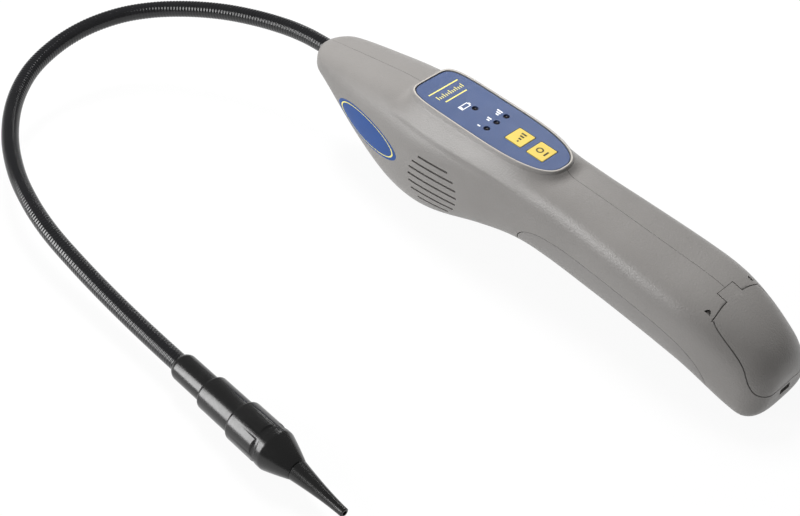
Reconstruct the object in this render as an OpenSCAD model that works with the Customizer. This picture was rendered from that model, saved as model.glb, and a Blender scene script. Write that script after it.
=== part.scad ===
// Handheld refrigerant leak detector. A body moulded in two halves carries a keypad on a raised
// pod, two battery cells under a tail door, and a flexible probe with a sensor head at its end.
// X runs from the nose to the tail and Z is up. The body rests on its belly and its tail.

/* [Body] */
// Length of the head, from the nose to the start of the handle
head_length = 148; // [144:1:160]
// Length of the handle, from the head to the tail
handle_length = 100; // [98:1:115]
// Width of the head at its widest
head_width = 45.2; // [44:0.2:50]
// Width of the handle's waist, behind the keypad
waist_width = 35.6; // [34.8:0.2:40]
// Width of the handle at the palm
palm_width = 39.6; // [38:0.2:44]
// Height of the nose's top edge
nose_top = 43; // [42:0.2:44]
// Height of the head's back, in front of the keypad
head_top = 49.6; // [48.6:0.2:52]
// Height of the handle's back at the waist
waist_top = 46.4; // [45.8:0.2:48]
// Height of the handle's back at the palm
palm_top = 39.7; // [39.2:0.1:41]
// Thickness of the moulded walls
wall = 2.2; // [2:0.1:2.4]
// Depth of solid material in the nose
nose_wall = 12; // [11:0.5:14]

/* [Keypad] */
// Length of the keypad overlay
overlay_length = 73.4; // [70:0.2:76]
// Width of the keypad overlay
overlay_width = 24.8; // [24:0.2:27]
// Thickness of the keypad overlay
overlay_t = 0.8; // [0.5:0.1:1]
// Width of the rim around the overlay
rim_width = 1.4; // [1:0.1:2.4]
// Height of the rim above the overlay
rim_height = 0.3; // [0.1:0.1:0.6]
// Slope of the keypad, down to the rear, in degrees
keypad_tilt = 2.95; // [2:0.05:4]
// Thickness of the deck under the overlay
deck_t = 1.4; // [1:0.1:1.6]
// Length of a key along the body
key_length = 8.4; // [7:0.1:9]
// Width of a key across the body
key_width = 9; // [8:0.1:11]
// Distance between the two keys' centres
key_pitch = 11.5; // [10.5:0.1:13]
// Travel of a key
key_travel = 0.4; // [0.2:0.05:0.5]
// Diameter of an indicator lamp
led_d = 2.6; // [2:0.1:3]
// Distance between the lamps in the row of three
led_pitch = 5.7; // [5:0.1:7]

/* [Speaker] */
// Diameter of the speaker
speaker_d = 27; // [24:0.5:28]
// Thickness of the speaker
speaker_t = 7; // [5:0.5:8]
// Width of a speaker slot
slot_w = 0.9; // [0.6:0.1:1.2]
// Distance between speaker slots
slot_pitch = 3.5; // [3:0.1:4]
// Number of speaker slots
slot_count = 7; // [3:2:7]

/* [Battery] */
// Diameter of a cell
cell_d = 26.2; // [24:0.1:26.2]
// Length of a cell with its contact
cell_length = 50; // [48:0.1:50]
// Clearance around and between the cells
cell_gap = 0.3; // [0.2:0.05:0.5]
// Wire diameter of the contact spring
spring_wire = 1; // [0.6:0.1:1.2]

/* [Door] */
// Width of the door's tab
tab_width = 8.8; // [7:0.2:11]
// Length of the door's tab in front of the hinge pin
tab_reach = 1.9; // [1.4:0.1:2.2]
// Diameter of a hinge pin
pin_d = 1.6; // [1.2:0.1:1.8]
// Gap between the door and the body
door_gap = 0.35; // [0.3:0.05:0.5]

/* [Grip] */
// Thickness of the grip pad
pad_t = 1.2; // [0.8:0.1:1.4]
// Height of the grip pad's edge above the underside
pad_rise = 16; // [12:0.5:16]

/* [Probe] */
// Diameter of the flexible probe
neck_d = 7.5; // [6.5:0.1:7.8]
// Diameter of the ferrule
ferrule_d = 11; // [10.8:0.1:12]
// Length of the ferrule
ferrule_length = 18.2; // [16:0.1:20]
// Diameter of the sensor housing
housing_d = 14; // [13.8:0.1:15]
// Length of the sensor housing
housing_length = 18.4; // [16:0.1:22]
// Diameter of the sensor cap
cap_d = 16.5; // [16.3:0.1:18]
// Length of the cap's straight sleeve
sleeve_length = 19.4; // [18:0.1:24]
// Length of the cap's cone
cone_length = 11.6; // [11:0.2:16]
// Length of the slim tip
tip_length = 24.8; // [20:0.2:34]
// Diameter at the end of the tip
tip_d = 3.5; // [3:0.1:4.5]
// Diameter of the air passage in the tip
tip_bore_d = 1.8; // [1:0.1:2]

/* [Fasteners] */
// Diameter of a case screw's shank
screw_d = 2.9; // [2.5:0.1:3]
// Diameter of a case screw's head
screw_head_d = 5.8; // [5:0.1:6]

/* [Hidden] */
$fn = 64;

// The body as a skin over sections. Each line gives [distance from the nose, value] stations.
body_length = head_length + handle_length;
function at_head(share) = share * head_length;
function at_handle(share) = head_length + share * handle_length;
top_line = [
    [0, nose_top], [at_head(0.23), nose_top + 4.4], [at_head(0.39), head_top],
    [at_head(0.68), head_top - 0.6], [head_length, waist_top],
    [at_handle(0.66), palm_top], [body_length, palm_top - 3.4]
];
bottom_line = [
    [0, nose_top - 9], [at_head(0.095), nose_top - 14], [at_head(0.243), 13.5], [at_head(0.372), 2.5],
    [at_head(0.473), -0.6], [at_head(0.574), 1.2], [at_head(0.736), 8.9], [at_head(0.878), waist_top - 33],
    [at_handle(0.02), waist_top - 33.8], [at_handle(0.61), palm_top - 33.1],
    [at_handle(0.84), 1], [at_handle(0.92), -0.2], [body_length, -0.2]
];
half_line = [
    [0, 8.4], [at_head(0.068), 13], [at_head(0.236), head_width / 2 - 4.1], [at_head(0.385), head_width / 2 - 1.1],
    [at_head(0.507), head_width / 2], [at_head(0.608), head_width / 2 - 0.6], [at_head(0.81), waist_width / 2 + 1.2],
    [head_length, waist_width / 2], [at_handle(0.2), waist_width / 2 + 0.6], [at_handle(0.6), palm_width / 2],
    [at_handle(0.82), palm_width / 2 - 1], [body_length, palm_width / 2 - 2.8]
];
// Squareness of the sections above and below their widest line, and how much their tops lean in
top_power = [[0, 3], [at_head(0.4), 3.2], [at_handle(0.67), 3.2], [body_length, 2.4]];
bottom_power = [[0, 2.4], [at_head(0.4), 2.6], [at_head(0.95), 3.2], [at_handle(0.52), 3.2], [body_length, 2.8]];
top_lean = [[0, 0.05], [at_head(0.68), 0.05], [head_length, 0], [at_handle(0.64), 0], [body_length, 0.25]];
nose_round = 8;
nose_pull = 0.3;
tail_round = 9;
tail_heel = 7;
tail_length = 45;
tail_fall = 21;
half_sides = 16;

function slope(t, i) = let (a = max(0, i - 1), b = min(len(t) - 1, i + 1)) (t[b][1] - t[a][1]) / (t[b][0] - t[a][0]);
function span(t, x, i = 0) = i >= len(t) - 2 || x <= t[i + 1][0] ? i : span(t, x, i + 1);
// Smooth curve through a line's stations
function curve(t, x) =
    let (i = span(t, x), h = t[i + 1][0] - t[i][0], u = (x - t[i][0]) / h, v = u * u, w = v * u)
    (2 * w - 3 * v + 1) * t[i][1] + (w - 2 * v + u) * h * slope(t, i)
    + (3 * v - 2 * w) * t[i + 1][1] + (w - v) * h * slope(t, i + 1);
function edge_round(d, r) = d >= r ? 0 : r - sqrt(r * r - (r - d) * (r - d));
function fall(x) =
    let (u = max(0, x - body_length + tail_length) / tail_length)
    tail_fall * (1 - sqrt(max(0, 1 - u * u)));
function top_z(x) = curve(top_line, x) - fall(x) - nose_pull * edge_round(x, nose_round);
function bottom_z(x) =
    curve(bottom_line, x) + edge_round(body_length - x, tail_heel) + nose_pull * edge_round(x, nose_round);
function half_w(x) = curve(half_line, x) - edge_round(x, nose_round) - edge_round(body_length - x, tail_round);
function pull_in(x, m) = m * max(0, x - body_length + tail_round) / tail_round;
// Point on the body's surface at a station, at an angle round its section, a depth m inside
function body_point(x, a, m) =
    let (
        zt = top_z(x) - m, zb = bottom_z(x) + m, zc = (zt + zb) / 2, h = (zt - zb) / 2,
        n = curve(sin(a) > 0 ? top_power : bottom_power, x),
        sy = sign(cos(a)) * pow(abs(cos(a)), 2 / n), sz = sign(sin(a)) * pow(abs(sin(a)), 2 / n)
    )
    [x - pull_in(x, m), (half_w(x) - m) * sy * (1 - curve(top_lean, x) * sz), max(m, zc + h * sz)];
// Height of the lower surface's angle: how far round the section a given height lies, below its middle
function low_angle(x, z) =
    let (zt = top_z(x), zb = bottom_z(x), share = min(1, max(0, ((zt + zb) / 2 - z) / ((zt - zb) / 2))))
    asin(pow(share, curve(bottom_power, x) / 2));
// Half width of the surface at a height, a depth m inside
function side_y(x, z, m) =
    let (
        zt = top_z(x) - m, zb = bottom_z(x) + m, sz = (z - (zt + zb) / 2) / ((zt - zb) / 2),
        n = curve(sz > 0 ? top_power : bottom_power, x)
    )
    (half_w(x) - m) * pow(max(0, 1 - pow(abs(sz), n)), 1 / n) * (1 - curve(top_lean, x) * sz);

nose_steps = [0, 0.3, 1, 2, 3.5, 5.5, 8];
tail_steps = [14, 11, 8.5, 6.5, 4.5, 3, 1.5, 0.6, 0.1, 0];
middle_count = 36;
middle_from = nose_steps[len(nose_steps) - 1];
middle_to = body_length - tail_steps[0];
body_stations = concat(
    nose_steps,
    [for (i = [1 : middle_count - 1]) middle_from + (middle_to - middle_from) * i / middle_count],
    [for (d = tail_steps) body_length - d]
);
function stations_from(x0) = concat([x0], [for (x = body_stations) if (x > x0 + 1) x]);
left_angles = [for (i = [0 : half_sides]) 90 + 180 * i / half_sides];
right_angles = [for (i = [0 : half_sides]) -90 + 180 * i / half_sides];
full_angles = [for (i = [0 : 2 * half_sides - 1]) 180 * i / half_sides];

// Solid skin over a list of closed rings, each with n points. A thin bent sheet's rings go out along one
// face and back along the other, and its ends are closed by a strip between the two.
module skin(rings, sheet = false) {
    n = len(rings[0]);
    last = len(rings) - 1;
    sides = [
        for (j = [0 : last - 1], i = [0 : n - 1])
            let (k = (i + 1) % n)
            each [
                [j * n + i, (j + 1) * n + i, j * n + k],
                [j * n + k, (j + 1) * n + i, (j + 1) * n + k]
            ]
    ];
    end = sheet ? [
        for (i = [0 : n / 2 - 2]) each [[i, i + 1, n - 1 - i], [i + 1, n - 2 - i, n - 1 - i]]
    ] : [[for (i = [0 : n - 1]) i]];
    back = [for (f = end) [for (i = [len(f) - 1 : -1 : 0]) last * n + f[i]]];
    polyhedron([for (r = rings) each r], concat(end, sides, back));
}

// One half of the body, or all of it, a depth m inside. over carries the flat side past the middle.
module body_skin(angles, m = 0, x0 = 0, over = 0)
    skin([
        for (x = stations_from(x0))
            [for (a = angles) let (p = body_point(x, a, m)) abs(p.y) < 0.001 ? [p.x, over, p.z] : p]
    ]);
function half_angles(side) = side < 0 ? left_angles : right_angles;

// Keypad. Its own frame has its origin at the middle of the overlay's top and X along the slope.
keypad_x = head_length - 46.7;
keypad_z = head_top + 1.9;
front_square = 6;
rear_square = 2.7;
outline_steps = 32;
pod_depth = 7.2;
pod_flare = 0.41;
pod_hollow = 7.5;
board_t = 1.2;
board_gap = 0.5;
key_t = 0.6;
key_proud = 0.15;
key_gap = 0.25;
stem_d = 2.4;
stem_room = 0.15;
switch_size = 5;
switch_t = 0.8;
power_key_x = 25.2;
sensitivity_key_x = power_key_x - key_pitch;
led_row_x = 1;
low_battery_x = -10.9;
under_deck = -overlay_t - deck_t;
plunger_top = under_deck - key_travel - stem_room;
board_top = plunger_top - 0.35 - switch_t;
led_places = [[low_battery_x, 0], [led_row_x, -led_pitch], [led_row_x, 0], [led_row_x, led_pitch]];
led_room = 0.2;
led_sink = 0.2;

module keypad_place() translate([keypad_x, 0, keypad_z]) rotate([0, keypad_tilt, 0]) children();
// Outline of the overlay grown by g: blunt in front, rounder behind, from angle a0 over a half or a whole turn
function keypad_outline(g, a0 = 0, turn = 360) = [
    for (i = [0 : outline_steps * turn / 180 - (turn == 360 ? 1 : 0)])
        let (a = a0 + 180 * i / outline_steps, p = 2 / (cos(a) < 0 ? front_square : rear_square))
        [
            (overlay_length / 2 + g) * sign(cos(a)) * pow(abs(cos(a)), p),
            (overlay_width / 2 + g) * sign(sin(a)) * pow(abs(sin(a)), p)
        ]
];
module key_hole(x, g) translate([x - key_length / 2 - g, -key_width / 2 - g]) square([key_length + 2 * g, key_width + 2 * g]);

// Raised pod for the keypad, flaring out toward the body
module pod(side) keypad_place() skin([
    for (z = [-pod_depth, -pod_depth / 3, rim_height])
        [for (p = keypad_outline(rim_width + pod_flare * max(0, -z), side < 0 ? 180 : 0, 180)) [p.x, p.y, z]]
]);
module pod_hollow_cut()
    keypad_place() translate([0, 0, -pod_hollow]) linear_extrude(pod_hollow + under_deck)
        polygon(keypad_outline(rim_width - wall));
module keypad_cuts() keypad_place() {
    translate([0, 0, -overlay_t]) linear_extrude(overlay_t + 2 * rim_height) polygon(keypad_outline(key_gap / 2));
    translate([0, 0, under_deck - 1]) linear_extrude(deck_t + 2) {
        key_hole(power_key_x, 2 * key_gap);
        key_hole(sensitivity_key_x, 2 * key_gap);
        for (p = led_places) translate(p) circle(d = led_d + 2 * led_room);
    }
}
rail_places = [-18, 5];
rail_length = 6;
rail_reach = 1.2;
module board_rails(side) keypad_place()
    for (x = rail_places) {
        inner = overlay_width / 2 + rim_width - wall - board_gap - rail_reach;
        translate([x - rail_length / 2, side < 0 ? -inner - 5 : inner, board_top - board_t - 2.05])
            cube([rail_length, 5, 2]);
    }

module keypad_overlay() color("steelblue") keypad_place() translate([0, 0, -overlay_t]) linear_extrude(overlay_t)
    difference() {
        polygon(keypad_outline(0));
        key_hole(power_key_x, key_gap);
        key_hole(sensitivity_key_x, key_gap);
        for (p = led_places) translate(p) circle(d = led_d + 2 * led_room);
    }
module key_at(x) color("gold") keypad_place() {
    translate([0, 0, key_proud - key_t]) linear_extrude(key_t) key_hole(x, 0);
    translate([x, 0, under_deck]) cylinder(d = stem_d, h = -under_deck + key_proud - key_t / 2);
}
module power_key() key_at(power_key_x);
module sensitivity_key() key_at(sensitivity_key_x);
led_flange = 0.5;
module led_at(p) color("dimgray") keypad_place() translate([p.x, p.y, board_top]) {
    cylinder(d = led_d + 0.8, h = led_flange);
    cylinder(d = led_d, h = -board_top - led_sink - led_d / 4);
    translate([0, 0, -board_top - led_sink - led_d / 2]) intersection() {
        sphere(d = led_d * 1.05);
        cylinder(d = led_d, h = led_d);
    }
}
module main_board() color("darkgreen") keypad_place() translate([0, 0, board_top - board_t]) linear_extrude(board_t)
    polygon(keypad_outline(rim_width - wall - board_gap));
module switch_at(x) color("black") keypad_place() {
    translate([x - switch_size / 2, -switch_size / 2, board_top]) cube([switch_size, switch_size, switch_t]);
    translate([x, 0, board_top]) cylinder(d = stem_d, h = plunger_top - board_top);
}

// Speaker behind the slots in the left side
speaker_x = keypad_x - 13.3;
speaker_z = 23;
speaker_room = 0.83;
speaker_y = min([
    for (a = [0 : 30 : 330])
        side_y(speaker_x + speaker_d / 2 * cos(a), speaker_z + speaker_d / 2 * sin(a), wall)
]) - speaker_room;
slot_reach = 13.2;
ring_t = 1.3;
module across(x, z) translate([x, 0, z]) rotate([90, 0, 0]) children();
module speaker() color("silver") across(speaker_x, speaker_z) translate([0, 0, speaker_y - speaker_t]) {
    cylinder(d = speaker_d * 0.7, h = speaker_t * 0.5);
    translate([0, 0, speaker_t * 0.5]) cylinder(d = speaker_d, h = speaker_t * 0.5);
}
module speaker_seat() across(speaker_x, speaker_z) difference() {
    translate([0, 0, speaker_y - speaker_t * 0.5]) cylinder(d = speaker_d + 2 * cell_gap + 2 * ring_t, h = head_width);
    translate([0, 0, speaker_y - speaker_t]) cylinder(d = speaker_d + 2 * cell_gap, h = speaker_t + 0.05);
    cylinder(d = speaker_d - 2, h = head_width);
}
module speaker_slots() for (i = [0 : slot_count - 1]) {
    dz = (i - (slot_count - 1) / 2) * slot_pitch;
    reach = sqrt(slot_reach * slot_reach - dz * dz) - slot_w / 2;
    across(speaker_x, speaker_z + dz) translate([0, 0, speaker_y + 0.1]) linear_extrude(head_width) {
        square([2 * reach, slot_w], center = true);
        for (s = [-1, 1]) translate([s * reach, 0]) circle(d = slot_w);
    }
}

// Two cells in line, in a frame whose origin is at the middle of the rear cell's rear face
cell_tilt = atan((waist_top - palm_top) / (0.66 * handle_length));
cell_rear_x = body_length - 35;
cell_seat_x = at_handle(0.5);
cell_rear_z = bottom_z(cell_seat_x) + wall + cell_gap + cell_d / 2 / cos(cell_tilt)
    - (cell_rear_x - cell_seat_x) * tan(cell_tilt);
nub_d = 5.8;
nub_t = 1.5;
contact_t = 0.5;
bulkhead_t = 2;
bulkhead_h = 12;
spring_seat = 12.5;
spring_turns = 5;
spring_r = 5.5;
post_d = 9;
module cell_place() translate([cell_rear_x, 0, cell_rear_z]) rotate([0, cell_tilt, 0]) children();
module forward(x) translate([-x, 0, 0]) rotate([0, -90, 0]) children();
module cell_at(x) color("darkslategray") cell_place() forward(x) {
    cylinder(d = cell_d, h = cell_length - nub_t);
    cylinder(d = nub_d, h = cell_length);
}
module rear_cell() cell_at(0);
module front_cell() cell_at(cell_length + cell_gap / 2);
contact_x = 2 * cell_length + cell_gap;
module front_contact() color("goldenrod") cell_place() forward(contact_x) {
    translate([-7, -6, cell_gap]) cube([14, 12, contact_t]);
    cylinder(d = nub_d - 1, h = contact_t + cell_gap);
}
module bulkhead() cell_place()
    translate([-contact_x - cell_gap - contact_t - bulkhead_t, -head_width / 2, -bulkhead_h])
        cube([bulkhead_t, head_width, 2 * bulkhead_h]);
spring_steps = 12;
module cell_spring() color("silver") cell_place() {
    length = spring_seat - cell_gap - spring_wire;
    skin([
        for (i = [0 : spring_turns * spring_steps])
            let (
                a = 360 * i / spring_steps, share = i / (spring_turns * spring_steps),
                r = spring_r - share * (spring_r - nub_d / 2), x = spring_seat - spring_wire / 2 - share * length
            )
            [for (b = [0 : 60 : 300]) let (q = r + spring_wire / 2 * cos(b))
                [x + spring_wire / 2 * sin(b), q * cos(a), q * sin(a)]]
    ]);
}

// Tail door, hinged on two pins under the body's back
pin_x = body_length - 30;
pin_depth = 3;
pin_z = top_z(pin_x) - pin_depth;
door_edge_r = 3.4;
door_low_z = 11.3;
door_line = [
    [pin_x + 4, pin_z - 0.4], [pin_x + 6, pin_z - 1.8], [pin_x + 14.8, pin_z - 7.4], [pin_x + 20, pin_z - 11.8],
    [pin_x + 23.8, pin_z - 17], [pin_x + 27, pin_z - 20.4], [body_length + 3, door_low_z]
];
tab_t = 1.3;
ear_y = 11.2;
ear_t = 1.8;
ear_d = 2.6;
ear_drop = 4.2;
arm_t = 1.6;
ear_room = 0.3;
lip_height = 0.15;
riser_x = 4.4;
riser_t = 2;
pin_length = 1.4;
pin_room = 0.05;
pry_width = 6;
pry_depth = 2.6;
function midway(p, i) =
    let (a = p[max(0, i - 1)], b = p[i], c = p[i + 1], d = p[min(len(p) - 1, i + 2)])
    [for (k = [0 : 3]) let (u = k / 4, v = u * u, w = v * u)
        0.5 * (2 * b + (c - a) * u + (2 * a - 5 * b + 4 * c - d) * v + (3 * b - a - 3 * c + d) * w)];
function smooth(p) = concat([for (i = [0 : len(p) - 2]) each midway(p, i)], [p[len(p) - 1]]);
// Bounded in side view by the hinge's round edge and the door's line, each moved by g into the body
module door_region(g) rotate([90, 0, 0]) translate([0, 0, -head_width]) linear_extrude(2 * head_width) difference() {
    polygon(concat(
        [[body_length + 10, door_low_z - g], [body_length + 10, head_top], [pin_x + 0.5, head_top], [pin_x + 0.5, pin_z]],
        [for (p = smooth(door_line)) p - [0.64, 0.77] * g]
    ));
    translate([pin_x, pin_z]) circle(r = door_edge_r - g);
}
module at_pin(y, t) translate([pin_x, y + t, pin_z]) rotate([90, 0, 0]) linear_extrude(t) children();
module tab_box(g, from)
    translate([pin_x - from, -tab_width / 2 - g, pin_z - 1]) cube([from + 6, tab_width + 2 * g, head_top]);
module ear_outline(g) {
    circle(d = ear_d + 2 * g);
    translate([-ear_d / 2 - g, -ear_drop - g]) square([ear_d + 2 * g, ear_drop + g]);
    translate([-ear_d / 2 - g, -ear_drop - g]) square([riser_x + riser_t + ear_d / 2 + 2 * g, arm_t + 2 * g]);
    translate([riser_x - g, -ear_drop - g]) square([riser_t + 2 * g, ear_drop + pin_depth + 2 * g]);
}
// Room for an ear under the body's back, over the door's swing, with a window over the pin
module ear_cut(side) {
    y = side < 0 ? -ear_y - ear_t - ear_room : ear_y - ear_room;
    at_pin(y, ear_t + 2 * ear_room) {
        circle(d = ear_d + 2 * ear_room + 0.4);
        difference() {
            circle(r = norm([riser_x + riser_t, ear_drop]) + ear_room);
            translate([-10, lip_height]) square([20, 20]);
            translate([-10 - ear_d / 2 - ear_room, -10]) square([10, 20]);
        }
    }
    at_pin(side < 0 ? -ear_y - ear_t - pin_length - 0.2 : ear_y, ear_t + pin_length + 0.2) circle(d = pin_d + 2 * pin_room);
}
module battery_door() color("gray") {
    difference() {
        intersection() {
            body_skin(full_angles, 0, pin_x - 12);
            union() {
                door_region(0);
                intersection() {
                    tab_box(0, tab_reach);
                    at_pin(-tab_width / 2, tab_width) difference() {
                        square([40, 40], center = true);
                        translate([-20, -20]) square([20 + 0.4, 20 + pin_depth - tab_t - 0.35]);
                    }
                }
            }
        }
        difference() {
            body_skin(full_angles, wall, pin_x - 13);
            tab_box(0.01, tab_reach + 1);
        }
        intersection() {
            body_skin(full_angles, tab_t, pin_x - 13);
            tab_box(0.01, tab_reach + 1);
        }
    }
    intersection() {
        body_skin(full_angles, wall * 0.6, pin_x - 12);
        for (side = [-1, 1]) at_pin(side < 0 ? -ear_y - ear_t : ear_y, ear_t) ear_outline(0);
    }
    for (side = [-1, 1])
        at_pin(side < 0 ? -ear_y - ear_t - pin_length : ear_y, ear_t + pin_length) circle(d = pin_d);
    intersection() {
        body_skin(full_angles, wall * 0.6, pin_x - 12);
        cell_place() translate([spring_seat, 0, 0]) rotate([0, 90, 0]) cylinder(d = post_d, h = handle_length);
    }
}

// Grip pad round the underside of the handle, grown by g at its edges, between two depths
pad_front = at_head(0.885);
pad_rear = body_length - 21;
pad_power = 3.6;
pad_gap = 0.25;
pad_steps = 20;
pad_sides = 15;
module pad_skin(outer, inner, g) {
    mid = (pad_front + pad_rear) / 2;
    reach = (pad_rear - pad_front) / 2;
    skin([
        for (i = [0 : pad_steps])
            let (
                t = -cos(180 * i / pad_steps), x = mid + t * (reach + g), u = min(0.995, abs(t)),
                rise = pad_rise * pow(1 - pow(u, pad_power), 1 / pad_power) + g,
                a = low_angle(x, bottom_z(x) + rise), angles = [for (k = [0 : pad_sides]) 180 + a + (180 - 2 * a) * k / pad_sides]
            )
            concat([for (b = angles) body_point(x, b, outer)], [for (k = [pad_sides : -1 : 0]) body_point(x, angles[k], inner)])
    ], true);
}
pad_seat_gap = 0.05;
module grip_pad() color("dimgray") pad_skin(0, pad_t - pad_seat_gap, 0);
module pad_cut() pad_skin(-1, pad_t, pad_gap);

// Oval label in a shallow seat on the left side
label_x = at_head(0.318);
label_z = 28.5;
label_length = 41;
label_height = 13.4;
label_tilt = 8;
label_t = 0.4;
label_gap = 0.12;
label_rings = 5;
label_steps = 36;
module label_skin(outer, inner, g) {
    rim = function (share, a, m)
        let (
            u = share * (label_length / 2 + g) * cos(a), v = share * (label_height / 2 + g) * sin(a),
            x = label_x + u * cos(label_tilt) + v * sin(label_tilt), z = label_z + v * cos(label_tilt) - u * sin(label_tilt)
        )
        [x, -side_y(x, z, m), z];
    angles = [for (i = [0 : label_steps - 1]) 360 * i / label_steps];
    shares = [for (k = [1 : label_rings]) k / label_rings];
    face = function (m) [for (s = shares) [for (a = angles) rim(s, a, m)]];
    rings = concat(face(inner), [for (k = [label_rings - 1 : -1 : 0]) face(outer)[k]]);
    skin(rings);
}
module side_label() color("royalblue") label_skin(0, label_t - 0.03, 0);
module label_cut() label_skin(-1, label_t, label_gap);

// Air pump in the belly, joined to the probe's gland by a tube
neck_z = nose_top - 5;
gland_d = 9.8;
gland_from = 9;
gland_to = 23;
gland_room = 0.1;
stub_d = 5;
stub_length = 6;
neck_depth = 9;
tube_t = 1;
pump_from = gland_to + 13;
pump_length = 14;
pump_width = 18;
pump_height = 20;
motor_d = 16;
motor_length = 18;
motor_z = neck_z - 8;
rib_t = 2;
rib_places = [pump_from + pump_length + 4, pump_from + pump_length + 12];
module along(x, z) translate([x, 0, z]) rotate([0, 90, 0]) children();
module pump_head() color("black") {
    translate([pump_from, -pump_width / 2, neck_z + 5 - pump_height]) cube([pump_length, pump_width, pump_height]);
    along(pump_from - stub_length, neck_z) cylinder(d = stub_d, h = stub_length + 1);
}
module pump_motor() color("silver") {
    along(pump_from + pump_length, motor_z) cylinder(d = motor_d, h = motor_length);
    along(pump_from + pump_length, motor_z) cylinder(d = 5, h = motor_length + 1.5);
}
module air_tube() color("white") along(gland_to + 0.5, neck_z) difference() {
    cylinder(d = stub_d + 2 * tube_t, h = pump_from - gland_to - 1);
    translate([0, 0, -1]) cylinder(d = stub_d, h = pump_from - gland_to + 2);
}
module probe_gland() color("dimgray") along(gland_from, neck_z) difference() {
    union() {
        cylinder(d = gland_d, h = gland_to - gland_from);
        cylinder(d = stub_d, h = gland_to - gland_from + stub_length);
    }
    translate([0, 0, -1]) cylinder(d = neck_d + 0.1, h = neck_depth + 1);
    cylinder(d = stub_d - 2, h = gland_to);
}
module motor_ribs(side) for (x = rib_places) difference() {
    translate([x, side < 0 ? -head_width / 2 : 0.2, motor_z - motor_d / 2]) cube([rib_t, head_width / 2 - 0.2, motor_d]);
    along(x - 1, motor_z) cylinder(d = motor_d + 2 * gland_room, h = rib_t + 2);
}

// Case screws, driven from the right side into posts in the left half
screw_places = [[54, 11], [speaker_x - 13, 41], [speaker_x + 16, 14], [body_length - 15, 7.2]];
screw_seat = 9.5;
screw_length = 15;
screw_head_t = 2.2;
screw_room = 0.25;
post_t = 1;
pilot_room = 0.05;
module posts() for (p = screw_places) across(p.x, p.y) cylinder(d = screw_head_d + 2 * screw_room + 2 * post_t, h = head_width, center = true);
module screw_cuts() for (p = screw_places) across(p.x, p.y) {
    translate([0, 0, -head_width]) cylinder(d = screw_head_d + 2 * screw_room, h = head_width - screw_seat);
    translate([0, 0, -screw_seat - 1]) cylinder(d = screw_d + 2 * screw_room, h = screw_seat + 1);
    translate([0, 0, -0.5]) cylinder(d = screw_d + 2 * pilot_room, h = screw_length - screw_seat + 1.5);
}
module case_screws() color("silver") for (p = screw_places) across(p.x, p.y) translate([0, 0, -screw_seat]) {
    cylinder(d = screw_d, h = screw_length);
    difference() {
        translate([0, 0, -screw_head_t]) cylinder(d = screw_head_d, h = screw_head_t);
        for (turn = [0, 90]) rotate(turn) translate([-1.7, -0.45, -screw_head_t - 1]) cube([3.4, 0.9, 2.2]);
    }
}

// Body halves, with seats for the grip pad and, on the left, the label
module outer_half(side) difference() {
    body_skin(half_angles(side));
    pad_cut();
    if (side < 0) label_cut();
}
module shell(side) color("gray") difference() {
    union() {
        difference() {
            union() {
                outer_half(side);
                pod(side);
            }
            body_skin(half_angles(side), wall, nose_wall, -side);
            pod_hollow_cut();
        }
        intersection() {
            body_skin(half_angles(side), wall * 0.6);
            union() {
                posts();
                bulkhead();
                motor_ribs(side);
                if (side < 0) speaker_seat();
            }
        }
        board_rails(side);
    }
    keypad_cuts();
    door_region(door_gap);
    tab_box(door_gap, 0);
    at_pin(-tab_width / 2 - door_gap, tab_width + 2 * door_gap) circle(r = norm([tab_reach, pin_depth + 0.2]) + door_gap);
    ear_cut(side);
    translate([body_length - 2 * wall, -pry_width / 2, door_low_z - pry_depth]) cube([4 * wall, pry_width, pry_depth]);
    along(-1, neck_z) cylinder(d = neck_d + 2 * screw_room, h = gland_from + 2);
    along(gland_from, neck_z) cylinder(d = gland_d + 2 * gland_room, h = gland_to - gland_from + 2);
    screw_cuts();
    if (side < 0) speaker_slots();
}
module left_shell() shell(-1);
module right_shell() shell(1);

// Flexible probe. The route's points run from the gland in the nose to the ferrule, level with the head.
neck_sides = 10;
head_x = 85.5;
head_y = -149.7;
head_z = cap_d / 2 + 0.05;
head_yaw = -1.32;
neck_end = 8;
neck_route = [
    [18, 0, 38], [8, 0, 38], [-4, 0, 38], [-14, -0.6, 38], [-26, -2.6, 37.7], [-41, -6.8, 37], [-57, -13.4, 36],
    [-72, -22.4, 34.6], [-85, -33.6, 33], [-94, -46.6, 31.4], [-98.6, -62.4, 29.6], [-98, -79.4, 27.6],
    [-92, -97, 25.4], [-80, -113.2, 22.8], [-63, -126.8, 20.2], [-44, -136.4, 17.6], [-25, -142.2, 15.4],
    [-6, -145.6, 13.4], [15, -147.4, 11.6], [35, -148.4, 10], [54, -149, 8.9], [71, -149.4, 8.4],
    [head_x, head_y, head_z], [head_x + neck_end * cos(head_yaw), head_y + neck_end * sin(head_yaw), head_z]
];
function unit(v) = v / norm(v);
function ring_at(route, i, r, n) =
    let (
        t = unit(route[min(len(route) - 1, i + 1)] - route[max(0, i - 1)]),
        s = unit(cross([0, 0, 1], t)), u = cross(t, s)
    )
    [for (k = [0 : n - 1]) route[i] + r * (cos(360 * k / n) * s + sin(360 * k / n) * u)];
module gooseneck() color("black") skin([for (i = [0 : len(neck_route) - 1]) ring_at(neck_route, i, neck_d / 2, neck_sides)]);

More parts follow.
